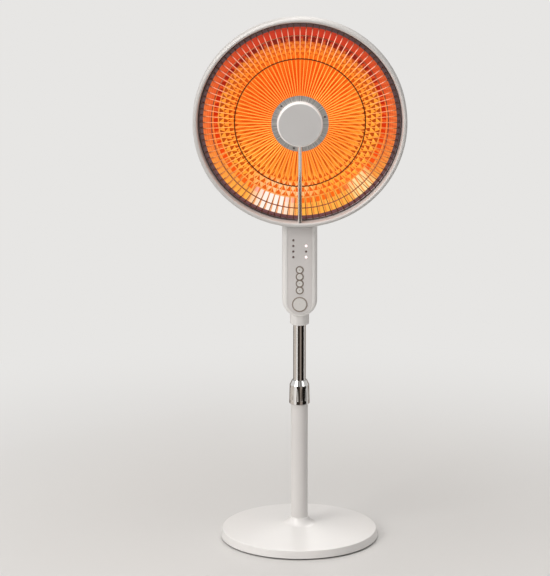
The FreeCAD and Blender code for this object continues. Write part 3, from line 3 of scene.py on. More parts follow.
import bpy
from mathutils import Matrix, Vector


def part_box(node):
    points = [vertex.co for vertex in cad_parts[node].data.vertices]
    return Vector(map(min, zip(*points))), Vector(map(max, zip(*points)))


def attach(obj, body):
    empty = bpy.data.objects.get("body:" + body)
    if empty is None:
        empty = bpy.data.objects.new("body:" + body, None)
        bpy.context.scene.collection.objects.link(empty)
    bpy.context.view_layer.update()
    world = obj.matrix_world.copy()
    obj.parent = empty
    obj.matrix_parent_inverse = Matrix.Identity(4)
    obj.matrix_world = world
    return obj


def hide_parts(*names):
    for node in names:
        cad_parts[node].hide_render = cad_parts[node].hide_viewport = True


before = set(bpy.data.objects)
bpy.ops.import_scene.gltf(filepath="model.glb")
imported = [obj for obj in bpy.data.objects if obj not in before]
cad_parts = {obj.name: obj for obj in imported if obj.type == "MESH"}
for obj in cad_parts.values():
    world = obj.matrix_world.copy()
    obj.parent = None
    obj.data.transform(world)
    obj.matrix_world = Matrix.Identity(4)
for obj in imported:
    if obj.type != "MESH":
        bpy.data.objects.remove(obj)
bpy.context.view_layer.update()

scene = bpy.context.scene
scene.view_settings.view_transform = "Standard"

# View: a long lens far in front, above the head and slightly left of the mast,
# tipped down so that the top of the round base shows.
VIEW_PITCH = math.radians(15.352)
VIEW_DISTANCE = 9.4526
VIEW_AIM = Vector((-0.0465, 0.0, 0.49226))
VIEW_LENS = 312.5
VIEW_SENSOR = 36.0
VIEW_FAR = 60.0


def add_object(label, data):
    """Object of a mesh, lamp or camera, linked into the scene."""
    thing = bpy.data.objects.new(label, data)
    scene.collection.objects.link(thing)
    return thing


camera_data = bpy.data.cameras.new("camera")
camera_data.lens = VIEW_LENS
camera_data.sensor_fit = "VERTICAL"
camera_data.sensor_height = VIEW_SENSOR
camera_data.sensor_width = VIEW_SENSOR
camera_data.clip_end = VIEW_FAR
camera = add_object("camera", camera_data)
backward = Vector((0.0, -math.cos(VIEW_PITCH), math.sin(VIEW_PITCH)))
camera.location = VIEW_AIM + backward * VIEW_DISTANCE
camera.rotation_euler = (math.pi / 2 - VIEW_PITCH, 0.0, 0.0)
scene.camera = camera


# Studio: a pale floor that fades into a pale room, with a large soft lamp overhead, one
# at the left of the camera, a weaker one at the right and a strip behind for the rims.
def make(tree, kind, inputs=None, **options):
    """A node with its options set and its inputs linked or given a value."""
    item = tree.nodes.new(kind)
    for option, setting in options.items():
        setattr(item, option, setting)
    for key, source in (inputs or {}).items():
        if isinstance(source, bpy.types.NodeSocket):
            tree.links.new(source, item.inputs[key])
        else:
            item.inputs[key].default_value = source
    return item


def calc(tree, operation, first, second=0.0, third=0.0):
    """Output of a math node."""
    values = {0: first, 1: second, 2: third}
    return make(tree, "ShaderNodeMath", values, operation=operation).outputs[0]


def ramp(tree, factor, stops):
    """Colour that runs through the stops, given as place and colour."""
    item = make(tree, "ShaderNodeValToRGB", {"Fac": factor})
    band = item.color_ramp
    while len(band.elements) < len(stops):
        band.elements.new(1.0)
    for element, (place, colour) in zip(band.elements, stops):
        element.position = place
        element.color = (*colour, 1.0)
    return item.outputs["Color"]


def blend_colours(tree, factor, first, second):
    """Mix of two colours, each a socket or a value, by a factor."""
    item = make(tree, "ShaderNodeMix", data_type="RGBA", blend_type="MIX")
    for socket, source in ((item.inputs[0], factor), (item.inputs[6], first), (item.inputs[7], second)):
        if isinstance(source, bpy.types.NodeSocket):
            tree.links.new(source, socket)
        elif isinstance(source, tuple):
            socket.default_value = (*source, 1.0)
        else:
            socket.default_value = source
    return item.outputs[2]


def dimmed(colour, share):
    """A colour brought down to a share of its brightness."""
    return tuple(channel * share for channel in colour)


def noise(tree, place, scale, detail):
    """Strength of a noise pattern at a place."""
    inputs = {"Vector": place, "Scale": scale, "Detail": detail}
    return make(tree, "ShaderNodeTexNoise", inputs).outputs["Fac"]


def new_material(label):
    """Fresh material with its node tree, shader and object coordinates."""
    material = bpy.data.materials.new(label)
    material.use_nodes = True
    tree = material.node_tree
    place = make(tree, "ShaderNodeTexCoord").outputs["Object"]
    return material, tree, tree.nodes["Principled BSDF"], place


FLOOR_HALF = 12.0
FLOOR_COLOUR = (0.64, 0.63, 0.618)
FLOOR_FADE_START = 0.25
FLOOR_FADE_END = 1.35
FLOOR_ROUGH = 0.55
ROOM_COLOUR = (0.80, 0.79, 0.775)
ROOM_LIGHT = 0.42

floor_mesh = bpy.data.meshes.new("floor")
floor_signs = [(-1, -1), (1, -1), (1, 1), (-1, 1)]
floor_corners = [(FLOOR_HALF * x, FLOOR_HALF * y, 0.0) for x, y in floor_signs]
floor_mesh.from_pydata(floor_corners, [], [(0, 1, 2, 3)])
floor = add_object("floor", floor_mesh)
floor_paint, floor_tree, floor_shader, floor_place = new_material("floor_paint")
floor_shader.inputs["Roughness"].default_value = FLOOR_ROUGH
floor_cloud = noise(floor_tree, floor_place, 0.8, 2.0)
floor_tint = ramp(floor_tree, floor_cloud, [(0.3, dimmed(FLOOR_COLOUR, 0.97)), (0.7, FLOOR_COLOUR)])
floor_tree.links.new(floor_tint, floor_shader.inputs["Base Color"])
floor_far = make(floor_tree, "ShaderNodeVectorMath", {0: floor_place}, operation="LENGTH").outputs["Value"]
floor_fade = make(floor_tree, "ShaderNodeMapRange", {
    "Value": floor_far, "From Min": FLOOR_FADE_START, "From Max": FLOOR_FADE_END},
    interpolation_type="SMOOTHSTEP").outputs["Result"]
floor_path = make(floor_tree, "ShaderNodeLightPath").outputs["Is Camera Ray"]
floor_haze = make(floor_tree, "ShaderNodeEmission", {"Color": (*ROOM_COLOUR, 1.0), "Strength": 1.0})
floor_blend = make(floor_tree, "ShaderNodeMixShader", {
    0: calc(floor_tree, "MULTIPLY", floor_fade, floor_path), 1: floor_shader.outputs["BSDF"],
    2: floor_haze.outputs["Emission"]})
floor_tree.links.new(floor_blend.outputs["Shader"], floor_tree.nodes["Material Output"].inputs["Surface"])
floor.data.materials.append(floor_paint)

room = bpy.data.worlds.new("room")
room.use_nodes = True
scene.world = room
room_tree = room.node_tree
room_shader = room_tree.nodes["Background"]
room_way = make(room_tree, "ShaderNodeTexCoord").outputs["Generated"]
room_axes = make(room_tree, "ShaderNodeSeparateXYZ", {"Vector": room_way})
room_side = calc(room_tree, "MULTIPLY_ADD", room_axes.outputs["X"], 0.5, 0.5)
room_walls = ramp(room_tree, room_side, [
    (0.0, (0.75, 0.74, 0.73)), (0.22, (0.95, 0.94, 0.93)), (0.36, (0.20, 0.19, 0.18)),
    (0.52, (0.42, 0.41, 0.40)), (0.66, (0.12, 0.115, 0.11)), (0.80, (0.92, 0.91, 0.90)),
    (1.0, (0.55, 0.54, 0.53))])
room_path = make(room_tree, "ShaderNodeLightPath")
room_seen = calc(
    room_tree, "MAXIMUM", room_path.outputs["Is Camera Ray"], room_path.outputs["Is Transmission Ray"])
room_tint = blend_colours(room_tree, room_seen, room_walls, ROOM_COLOUR)
room_level = calc(room_tree, "MAXIMUM", room_seen, room_path.outputs["Is Glossy Ray"])
room_power = calc(room_tree, "MULTIPLY_ADD", room_level, 1.0 - ROOM_LIGHT, ROOM_LIGHT)
room_tree.links.new(room_tint, room_shader.inputs["Color"])
room_tree.links.new(room_power, room_shader.inputs["Strength"])

LAMPS = {
    "soft_lamp_top": ((-0.5, -0.5, 3.4), (2.6, 2.6), 74.0),
    "soft_lamp_left": ((-3.0, -3.0, 2.6), (2.2, 2.2), 98.0),
    "soft_lamp_right": ((3.2, -2.6, 2.0), (1.6, 2.4), 12.0),
    "strip_lamp_back": ((0.8, 3.0, 2.6), (2.4, 0.8), 34.0),
}
LAMP_AIM = Vector((0.0, 0.0, 0.5))
LAMP_COLOUR = (1.0, 0.975, 0.95)
for lamp_name, (lamp_place, lamp_size, lamp_power) in LAMPS.items():
    lamp_data = bpy.data.lights.new(lamp_name, "AREA")
    lamp_data.shape = "RECTANGLE"
    lamp_data.size, lamp_data.size_y = lamp_size
    lamp_data.energy = lamp_power
    lamp_data.color = LAMP_COLOUR
    lamp = add_object(lamp_name, lamp_data)
    lamp.location = lamp_place
    lamp.rotation_euler = (LAMP_AIM - lamp.location).to_track_quat("-Z", "Y").to_euler()

# Reflection cards: low boards from pale to black round the mast that only the
# bright metal mirrors, as a product studio sets them to draw out a chrome tube.
CARD_DISTANCE = 0.9
CARD_BOTTOM = 0.001
CARD_TOP = 0.40
CARDS = {
    "card_far_left": (-172.0, -118.0, (0.24, 0.205, 0.18)),
    "card_left": (-112.0, -66.0, (0.62, 0.56, 0.50)),
    "card_front": (-34.0, 6.0, (0.040, 0.031, 0.025)),
    "card_middle": (6.0, 34.0, (0.30, 0.25, 0.215)),
    "card_right": (34.0, 84.0, (0.010, 0.008, 0.007)),
    "card_far_right": (112.0, 170.0, (0.30, 0.26, 0.23)),
}
for card_name, (card_from, card_to, card_tone) in CARDS.items():
    foot_points = []
    for degrees in (card_from, card_to):
        bearing = math.radians(degrees)
        foot_points.append((CARD_DISTANCE * math.sin(bearing), -CARD_DISTANCE * math.cos(bearing)))
    (x_from, y_from), (x_to, y_to) = foot_points
    card_mesh = bpy.data.meshes.new(card_name)
    card_corners = [
        (x_from, y_from, CARD_BOTTOM), (x_to, y_to, CARD_BOTTOM), (x_to, y_to, CARD_TOP),
        (x_from, y_from, CARD_TOP)]
    card_mesh.from_pydata(card_corners, [], [(0, 1, 2, 3)])
    card = add_object(card_name, card_mesh)
    card_paint = bpy.data.materials.new(card_name)
    card_paint.use_nodes = True
    card_tree = card_paint.node_tree
    card_shade = make(card_tree, "ShaderNodeEmission", {"Color": (*card_tone, 1.0)})
    card_surface = card_tree.nodes["Material Output"].inputs["Surface"]
    card_tree.links.new(card_shade.outputs["Emission"], card_surface)
    card.data.materials.append(card_paint)
    for ray in ("camera", "diffuse", "transmission", "volume_scatter", "shadow"):
        setattr(card, "visible_" + ray, False)

# Base: a moulded satin white cover over a cast disc. The cover has a fine
# eroded grain; the disc under it is raw iron and stands on five rubber feet.
CLOUD_SCALE = 7.0
GRAIN_SPREAD = 0.12
GRAIN_DEPTH = 0.0002


def grain_bump(tree, shader, height, strength, depth):
    """Fine relief on the normal of a shader."""
    bump = make(tree, "ShaderNodeBump", {"Height": height, "Strength": strength, "Distance": depth})
    tree.links.new(bump.outputs["Normal"], shader.inputs["Normal"])


def moulded(label, colour, rough, grain=900.0, relief=0.10, drift=0.04):
    """Moulded plastic, rubber or casting: fine grain and a slow drift of shade."""
    material, tree, shader, place = new_material(label)
    clouds = noise(tree, place, CLOUD_SCALE, 4.0)
    tint = ramp(tree, clouds, [(0.35, dimmed(colour, 1.0 - drift)), (0.65, colour)])
    tree.links.new(tint, shader.inputs["Base Color"])
    fine = noise(tree, place, grain, 2.0)
    spread = calc(tree, "MULTIPLY_ADD", fine, GRAIN_SPREAD, rough - GRAIN_SPREAD / 2)
    tree.links.new(spread, shader.inputs["Roughness"])
    grain_bump(tree, shader, fine, relief, GRAIN_DEPTH)
    return material


def dress(material, *names):
    """Gives carried-over pieces their finish."""
    for name in names:
        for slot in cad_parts[name].material_slots:
            slot.material = material


WHITE = (0.83, 0.815, 0.80)
white_plastic = moulded("white_plastic", WHITE, 0.34)
white_inputs = white_plastic.node_tree.nodes["Principled BSDF"].inputs
white_inputs["Coat Weight"].default_value = 0.25
white_inputs["Coat Roughness"].default_value = 0.18
dress(white_plastic, "base_cover")
cast_iron = moulded("cast_iron", (0.085, 0.085, 0.09), 0.62, grain=420.0, relief=0.5, drift=0.25)
dress(cast_iron, "ballast_disc")
black_rubber = moulded("black_rubber", (0.028, 0.028, 0.028), 0.70, grain=1500.0, relief=0.2, drift=0.2)
dress(black_rubber, "rubber_feet")

# Fastenings: zinc-plated bolt, washer and threaded plug that hold the mast to
# the base, turned from steel, with the faint yellow-grey bloom of zinc.
SCRATCH_RELIEF = 0.03
SCRATCH_DEPTH = 0.0001
TURNED = (900.0, 900.0, 900.0)


def plated(label, colour, rough, along, wear):
    """Bare or plated metal with fine marks that run along one direction."""
    material, tree, shader, place = new_material(label)
    shader.inputs["Metallic"].default_value = 1.0
    laid = make(tree, "ShaderNodeMapping", {"Vector": place, "Scale": along}).outputs["Vector"]
    marks = noise(tree, laid, 1.0, 3.0)
    tint = ramp(tree, marks, [(0.3, dimmed(colour, 0.9)), (0.7, colour)])
    tree.links.new(tint, shader.inputs["Base Color"])
    tree.links.new(calc(tree, "MULTIPLY_ADD", marks, wear, rough), shader.inputs["Roughness"])
    grain_bump(tree, shader, marks, SCRATCH_RELIEF, SCRATCH_DEPTH)
    return material


zinc = plated("zinc_plate", (0.60, 0.59, 0.56), 0.30, TURNED, 0.2)
dress(zinc, "base_bolt", "base_washer", "tube_foot")

# Mast: powder-coated outer tube, chromed inner tube drawn lengthwise, and the
# chromed lock collar with its finger flutes. Nylon bush and guide run between them.
DRAWN_UP = (700.0, 700.0, 12.0)
# The outer tube's white is set a shade greyer than the base's, as painted shade.
powder_coat = moulded(
    "powder_coat_painted_shade", (0.73, 0.71, 0.695), 0.38, grain=1600.0, relief=0.16, drift=0.03)
dress(powder_coat, "outer_tube")
chrome = plated("chrome", (0.82, 0.81, 0.80), 0.05, DRAWN_UP, 0.05)
dress(chrome, "inner_tube", "lock_collar")
nylon = moulded("dark_nylon", (0.045, 0.045, 0.05), 0.45, grain=700.0)
dress(nylon, "split_bush", "tube_guide")

# Neck and swing drive: white sleeve clamped on the inner tube by a screw, the
# washer that it carries, and the nylon wheels and motor hidden in the housing.
dress(white_plastic, "neck_sleeve")
dress(zinc, "neck_screw", "swing_motor")
dress(nylon, "swivel_washer", "swing_gear", "swing_pinion")

# Control housing: two moulded white halves, joined by sunk zinc-plated screws.
# A rubber gland at the back closes the hole for the cord.
dress(white_plastic, "housing_front", "housing_rear")
dress(zinc, "housing_screws")
dress(moulded("gland_rubber", (0.03, 0.03, 0.03), 0.62, grain=1300.0), "cord_gland")

# Fascia: smooth inset panel a shade greyer than the housing, with satin trim
# rings and pale caps that carry a soft dished top.
fascia_plastic = moulded(
    "fascia_plastic", (0.71, 0.685, 0.675), 0.24, grain=1800.0, relief=0.04, drift=0.03)
dress(fascia_plastic, "control_panel")
trim_plastic = moulded("trim_plastic", (0.27, 0.225, 0.19), 0.26, grain=1500.0, relief=0.05, drift=0.08)
dress(trim_plastic, "button_trim")
power_plastic = moulded(
    "power_trim_plastic", (0.34, 0.29, 0.25), 0.26, grain=1500.0, relief=0.05, drift=0.08)
dress(power_plastic, "power_trim")
button_plastic = moulded("button_plastic", (0.72, 0.70, 0.675), 0.32, grain=1400.0, relief=0.06)
dress(button_plastic, "heat_button", "timer_button", "swing_button", "mode_button", "power_button")

# Button marks: thin strokes of ink printed on the dished caps, one plain sign for
# each button, dark on the small caps and pale on the large one.
MARK_WIDTH = 0.0010
MARK_LIFT = 0.00006
CAP_DISH = 0.0004
BRICK_FACES = ((3, 2, 1, 0), (4, 5, 6, 7), (0, 1, 5, 4), (1, 2, 6, 5), (2, 3, 7, 6), (3, 0, 4, 7))


def arc_stroke(radius, start, stop, steps=14):
    """Points of an arc, in degrees from the right, about the cap's middle."""
    turns = [math.radians(start + (stop - start) * step / steps) for step in range(steps + 1)]
    return [(radius * math.cos(turn), radius * math.sin(turn)) for turn in turns]


def print_mark(name, strokes, ink):
    """Ribbon strokes laid on the middle of a button's cap."""
    low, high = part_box(name)
    middle = [(first + last) / 2 for first, last in zip(low, high)]
    corners = []
    quads = []
    for stroke in strokes:
        for first, last in zip(stroke, stroke[1:]):
            along = Vector((last[0] - first[0], 0.0, last[1] - first[1])).normalized()
            across = Vector((-along.z, 0.0, along.x)) * (MARK_WIDTH / 2)
            base = len(corners)
            for lift in (0.0, MARK_LIFT):
                depth = low[1] + CAP_DISH - lift
                for point, side in ((first, 1), (first, -1), (last, -1), (last, 1)):
                    spot = Vector((middle[0] + point[0], depth, middle[2] + point[1]))
                    corners.append(spot + across * side)
            for face in BRICK_FACES:
                quads.append([base + corner for corner in face])
    mesh = bpy.data.meshes.new(name + "_mark")
    mesh.from_pydata(corners, [], quads)
    mark = add_object(name + "_mark", mesh)
    mark.data.materials.append(ink)
    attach(mark, name + "_body")


mark_ink = moulded("mark_ink", (0.085, 0.065, 0.055), 0.45, grain=2500.0, relief=0.05, drift=0.2)
print_mark("mode_button", [arc_stroke(0.0005, 0, 360), arc_stroke(0.0011, 0, 360, 20)], mark_ink)
print_mark("swing_button", [
    arc_stroke(0.0020, 200, 340), [(-0.0027, 0.0002), (-0.0019, -0.0008), (-0.0009, -0.0004)],
    [(0.0027, 0.0002), (0.0019, -0.0008), (0.0009, -0.0004)]], mark_ink)
print_mark("timer_button", [
    arc_stroke(0.0022, 0, 360, 24), [(0.0, 0.0014), (0.0, 0.0), (0.0010, 0.0)]], mark_ink)
print_mark("heat_button", [
    [(-0.0020, -0.0012), (-0.0008, 0.0014), (0.0006, -0.0010), (0.0020, 0.0014)]], mark_ink)
pale_ink = moulded("pale_ink", (0.50, 0.45, 0.41), 0.45, grain=2500.0, relief=0.05, drift=0.1)
print_mark("power_button", [arc_stroke(0.0045, 125, 415, 28), [(0.0, 0.0056), (0.0, 0.0016)]], pale_ink)


# Indicators: clear plastic light pipes pressed into the fascia and flush with it,
# two of them lit by the lamps on the board behind.
def light_pipe(label, colour, glow, power):
    """Smooth material with a faint frost and a glow of its own."""
    material, tree, shader, place = new_material(label)
    shader.inputs["Roughness"].default_value = 0.15
    shader.inputs["Emission Strength"].default_value = power
    frost = noise(tree, place, 900.0, 2.0)
    for tone, socket in ((colour, "Base Color"), (glow, "Emission Color")):
        tint = ramp(tree, frost, [(0.3, dimmed(tone, 0.85)), (0.7, tone)])
        tree.links.new(tint, shader.inputs[socket])
    return material


dress(light_pipe("lit_lens", (0.95, 0.85, 0.85), (1.0, 0.80, 0.84), 1.5), "indicator_lenses_lit")
dress(light_pipe("dark_lens", (0.20, 0.15, 0.14), (0.05, 0.02, 0.02), 0.1), "indicator_lenses_dark")
dress(light_pipe("clear_led", (0.80, 0.78, 0.75), (0.3, 0.28, 0.26), 0.2), "indicator_leds")

# Electrics inside the housing: a board with green solder mask behind the fascia,
# and the push switches, relays and tip-over switch in black plastic.
solder_mask = moulded("solder_mask", (0.02, 0.10, 0.035), 0.30, grain=600.0, drift=0.2)
dress(solder_mask, "circuit_board")
black_plastic = moulded("black_plastic", (0.02, 0.02, 0.022), 0.40, grain=900.0)
dress(black_plastic, "tact_switches", "power_relays", "tip_over_switch")

# Tilt joint: white knuckle under the head between the ears of the housing,
# on a zinc-plated bolt and nut with nylon friction washers.
dress(white_plastic, "tilt_knuckle")
dress(zinc, "tilt_bolt", "tilt_nut")
dress(nylon, "tilt_washers")

# Head shell and ring: a white moulded shell and a ring painted a shade greyer as
# painted shade, which clip together round the edge of the reflector and the guard.
dress(white_plastic, "rear_shell")
# The ring's white is set greyer than the shell's, as painted shade.
ring_painted_shade = moulded("ring_painted_shade", (0.595, 0.58, 0.565), 0.30, grain=1200.0, relief=0.06, drift=0.03)
dress(ring_painted_shade, "front_ring")

# Reflector: a pressed aluminium dish, mirror polished, with the lamp's light on it painted
# in as a glow. Fine flutes run out from the hub and rows of triangular facets follow. It
# lies on the lip of a steep smooth band. The painted light is amber below and falls to
# crimson above.
HEAD_HEIGHT = 0.827
REFLECTOR_REACH = 0.19
FLUTE_START = 0.054
FLUTE_FADE = 0.006
FLUTE_RELIEF = 0.0014
FLUTE_STEPS = 12
FACET_START = 0.1152
FACET_END = 0.1512
FACET_ROWS = 4
FACET_ROW = (FACET_END - FACET_START) / FACET_ROWS
FACET_RELIEF = 0.0010
FACET_BEVEL = 0.16
FACET_MARGIN = 0.05
ROW_STEPS = 6
BAND_START = FACET_END + 0.002
BAND_END = 0.1805
SECTORS = 68
SECTOR_STEPS = 8
DISH_SHEET = 0.0008
DISH_CREASE = math.radians(25.0)
DISH_PROFILE = [
    (0.0120, 0.0212), (0.0500, 0.02283), (FLUTE_START, 0.0212), (FACET_START, -0.0038),
    (FACET_END, -0.0238), (0.1547, -0.0238)]
GUARD_WIRES = 96


def dish_depth(radius):
    """Depth of the plain sheet at a radius, along its profile."""
    for (inner, start), (outer, stop) in zip(DISH_PROFILE, DISH_PROFILE[1:]):
        if radius <= outer:
            break
    return start + (stop - start) * (radius - inner) / (outer - inner)


def dish_relief(radius, turn):
    """How far the flutes and facets are pressed forward, with turns counted from 0 to 1."""
    if FLUTE_START < radius < FACET_START:
        rise = min(1.0, (radius - FLUTE_START) / FLUTE_FADE, (FACET_START - radius) / FLUTE_FADE)
        return FLUTE_RELIEF * rise * (0.5 - 0.5 * math.sin(turn * SECTORS * 2 * math.pi))
    if FACET_START <= radius < FACET_END:
        row, share = divmod((radius - FACET_START) / FACET_ROW + 1e-6, 1.0)
        side = abs((turn * SECTORS + row * 0.5) % 1.0 - 0.5)
        return FACET_RELIEF * min(1.0, max(0.0, side - 0.5 * share - FACET_MARGIN) / FACET_BEVEL)
    return 0.0


def strip_faces(rings, steps, first=0, closed=False):
    """Quads between rings of points that follow each other."""
    faces = []
    for ring in range(rings if closed else rings - 1):
        near = first + ring * steps
        far = first + (ring + 1) % rings * steps
        for step in range(steps):
            following = (step + 1) % steps
            faces.append((near + step, far + step, far + following, near + following))
    return faces


dish_radii = [radius for radius, depth in DISH_PROFILE[:3]]
dish_radii += [
    FLUTE_START + (FACET_START - FLUTE_START) * step / FLUTE_STEPS for step in range(1, FLUTE_STEPS)]
dish_radii += [FACET_START + FACET_ROW * step / ROW_STEPS for step in range(FACET_ROWS * ROW_STEPS)]
dish_radii += [radius for radius, depth in DISH_PROFILE[4:]]
dish_steps = SECTORS * SECTOR_STEPS
dish_points = []
for sheet, radii in ((0.0, dish_radii), (DISH_SHEET, dish_radii[::-1])):
    for radius in radii:
        for step in range(dish_steps):
            share = step / dish_steps
            depth = dish_depth(radius) - dish_relief(radius, share) + sheet
            turn = 2 * math.pi * share
            dish_points.append((radius * math.cos(turn), depth, HEAD_HEIGHT + radius * math.sin(turn)))
dish_mesh = bpy.data.meshes.new("pressed_dish")
dish_mesh.from_pydata(dish_points, [], strip_faces(2 * len(dish_radii), dish_steps, closed=True))
dish_mesh.shade_smooth()
dish_mesh.set_sharp_from_angle(angle=DISH_CREASE)
dish = add_object("pressed_dish", dish_mesh)
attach(dish, "head")
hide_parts("reflector_dish")


def head_axes(tree, place):
    """Across, up, radius and turn about the axis of the head."""
    axes = make(tree, "ShaderNodeSeparateXYZ", {"Vector": place})
    across = axes.outputs["X"]
    up = calc(tree, "SUBTRACT", axes.outputs["Z"], HEAD_HEIGHT)
    squares = calc(tree, "MULTIPLY_ADD", across, across, calc(tree, "MULTIPLY", up, up))
    turn = calc(tree, "DIVIDE", calc(tree, "ARCTAN2", up, across), 2 * math.pi)
    return across, up, calc(tree, "SQRT", squares), turn


def fade(tree, value, start, stop, end=1.0):
    """Runs from 0 to an end value while a value runs from start to stop."""
    return make(tree, "ShaderNodeMapRange", {
        "Value": value, "From Min": start, "From Max": stop, "To Max": end}).outputs["Result"]


def between(tree, value, low, high, soft):
    """1 where a value lies between two bounds, with soft edges."""
    rise = fade(tree, value, low - soft, low + soft)
    fall = fade(tree, value, high + soft, high - soft)
    return calc(tree, "MULTIPLY", rise, fall)


def beat(tree, turn, count, strength):
    """Wave round the axis that swings between 0 and a strength."""
    wave = calc(tree, "SINE", calc(tree, "MULTIPLY", turn, count * 2 * math.pi))
    return calc(tree, "MULTIPLY_ADD", wave, strength / 2, strength / 2)


def height_ramp(tree, up, gain, stops):
    """Colour that runs through the stops with the height over the head's middle."""
    return ramp(tree, calc(tree, "MULTIPLY_ADD", up, gain, 0.5), stops)


def apart(tree, value, goal):
    """How far a value is from a goal."""
    return calc(tree, "ABSOLUTE", calc(tree, "SUBTRACT", value, goal))


FOOT_START = 0.1532
FOOT_END = 0.1612
FOOT_SOFT = 0.0006
FOOT_WIDENING = 0.0055
LIP_START = 0.1616
LIP_END = 0.1632
HOOP_SPACING = 0.0042
PALE_START = 0.128
# Painted shade: washes of darker red over the upper part of the sheet, one at the top of the outer rows,
# one round the hub and one inside the facets.
PAINTED_SHADES = {
    "shaded_top": (0.0, (0.02, 0.16, 0.86), (0.125, 0.156), (0.46, 0.026, 0.018)),
    "shaded_hub": (0.0, (0.0, 0.09, 0.55), (0.10, 0.055), (0.92, 0.085, 0.006)),
    "shaded_slope": (-0.35, (-0.03, 0.03, 0.55), (0.150, 0.112), (0.80, 0.065, 0.004)),
}

# Painted light: the lamp's light on the sheet is painted into its emission and colour, in layers from the
# hub out.
glow_metal, glow_tree, glow_shader, glow_place = new_material("reflector_painted_glow")
glow_shader.inputs["Metallic"].default_value = 1.0
glow_shader.inputs["Emission Strength"].default_value = 1.0
glow_across, glow_up, glow_radius, glow_turn = head_axes(glow_tree, glow_place)
# Painted light by radius: deep red at the hub, orange over the flutes, a bright amber line where the facets
# end, crimson on the band.
glow_base = ramp(glow_tree, calc(glow_tree, "DIVIDE", glow_radius, REFLECTOR_REACH), [
    (0.25, (0.80, 0.09, 0.006)), (0.33, (0.98, 0.17, 0.012)), (0.50, (1.0, 0.25, 0.022)),
    (0.60, (1.0, 0.31, 0.032)), (0.78, (1.0, 0.36, 0.040)), (0.797, (1.0, 0.40, 0.060)),
    (0.815, (0.86, 0.10, 0.010)), (0.87, (0.86, 0.14, 0.030)), (0.925, (0.90, 0.19, 0.045))])
# Painted shade in the troughs of the flutes, darker below.
flute_zone = between(glow_tree, glow_radius, FLUTE_START, FACET_START, FLUTE_FADE)
flute_share = calc(glow_tree, "MULTIPLY", beat(glow_tree, glow_turn, SECTORS, 0.85), flute_zone)
flute_shade_tone = height_ramp(glow_tree, glow_up, 4.0, [
    (0.15, (0.50, 0.055, 0.003)), (0.50, (0.66, 0.075, 0.004)), (0.80, (0.78, 0.080, 0.004))])
glow_fluted = blend_colours(glow_tree, flute_share, glow_base, flute_shade_tone)
# Painted shade on every other triangular facet.
row_share = calc(glow_tree, "DIVIDE", calc(glow_tree, "SUBTRACT", glow_radius, FACET_START), FACET_ROW)
row_number = calc(glow_tree, "FLOOR", row_share)
row_rise = calc(glow_tree, "SUBTRACT", row_share, row_number)
sector_place = calc(glow_tree, "MULTIPLY", glow_turn, SECTORS)
row_shift = calc(glow_tree, "MULTIPLY_ADD", row_number, 0.5, sector_place)
cell_place = calc(glow_tree, "FRACT", row_shift)
cell_side = apart(glow_tree, cell_place, 0.5)
cell_half = calc(glow_tree, "MULTIPLY_ADD", row_rise, 0.5, FACET_MARGIN)
cell_edge = calc(glow_tree, "SUBTRACT", cell_half, cell_side)
facet_zone = between(glow_tree, glow_radius, FACET_START, FACET_END, 0.0006)
cell_dark = calc(glow_tree, "MULTIPLY", fade(glow_tree, cell_edge, 0.02, 0.09), facet_zone)
cell_shade_strength = fade(glow_tree, glow_up, 0.15, 0.02, 0.28)
cell_share = calc(glow_tree, "MULTIPLY", cell_dark, calc(glow_tree, "ADD", cell_shade_strength, 0.62))
cell_tone = height_ramp(glow_tree, glow_up, 3.0, [
    (0.08, (0.78, 0.105, 0.010)), (0.30, (0.40, 0.040, 0.004)), (0.62, (0.36, 0.034, 0.004)),
    (0.90, (0.50, 0.050, 0.006))])
glow_faceted = blend_colours(glow_tree, cell_share, glow_fluted, cell_tone)
# Painted reflections of the guard's wires as dark lines on the band, and painted shade in fine rings across
# it.
band_zone = between(glow_tree, glow_radius, BAND_START, BAND_END, 0.0008)
mirror_lines = calc(glow_tree, "POWER", beat(glow_tree, glow_turn, GUARD_WIRES, 1.0), 6.0)
line_share = calc(glow_tree, "MULTIPLY", calc(glow_tree, "MULTIPLY", mirror_lines, 0.45), band_zone)
glow_lined = blend_colours(glow_tree, line_share, glow_faceted, (0.45, 0.05, 0.02))
hoop_wave = calc(glow_tree, "SINE", calc(glow_tree, "MULTIPLY", glow_radius, 2 * math.pi / HOOP_SPACING))
hoop_shade_strength = calc(glow_tree, "MULTIPLY_ADD", hoop_wave, 0.13, 0.13)
hoop_share = calc(glow_tree, "MULTIPLY", hoop_shade_strength, band_zone)
glow_washed = blend_colours(glow_tree, hoop_share, glow_lined, (0.40, 0.03, 0.015))
# Painted shade: each wash darkens the sheet above a slanted line, fading with the radius.
for wash_lean, wash_heights, wash_radii, wash_tone in PAINTED_SHADES.values():
    wash_place = calc(glow_tree, "MULTIPLY_ADD", glow_across, wash_lean, glow_up)
    wash_rise = fade(glow_tree, wash_place, *wash_heights)
    wash_reach = fade(glow_tree, glow_radius, *wash_radii)
    wash_share = calc(glow_tree, "MULTIPLY", wash_rise, wash_reach)
    glow_washed = blend_colours(glow_tree, wash_share, glow_washed, wash_tone)
# Painted light: bright amber low on the band, broken by the wires' painted reflections.
low_light_share = calc(glow_tree, "MULTIPLY", fade(glow_tree, glow_up, -0.02, -0.14, 0.84), band_zone)
low_gaps = calc(glow_tree, "SUBTRACT", 1.0, calc(glow_tree, "MULTIPLY", mirror_lines, 0.6))
low_lines = calc(glow_tree, "MULTIPLY", low_light_share, low_gaps)
glow_low = blend_colours(glow_tree, low_lines, glow_washed, (1.0, 0.50, 0.075))
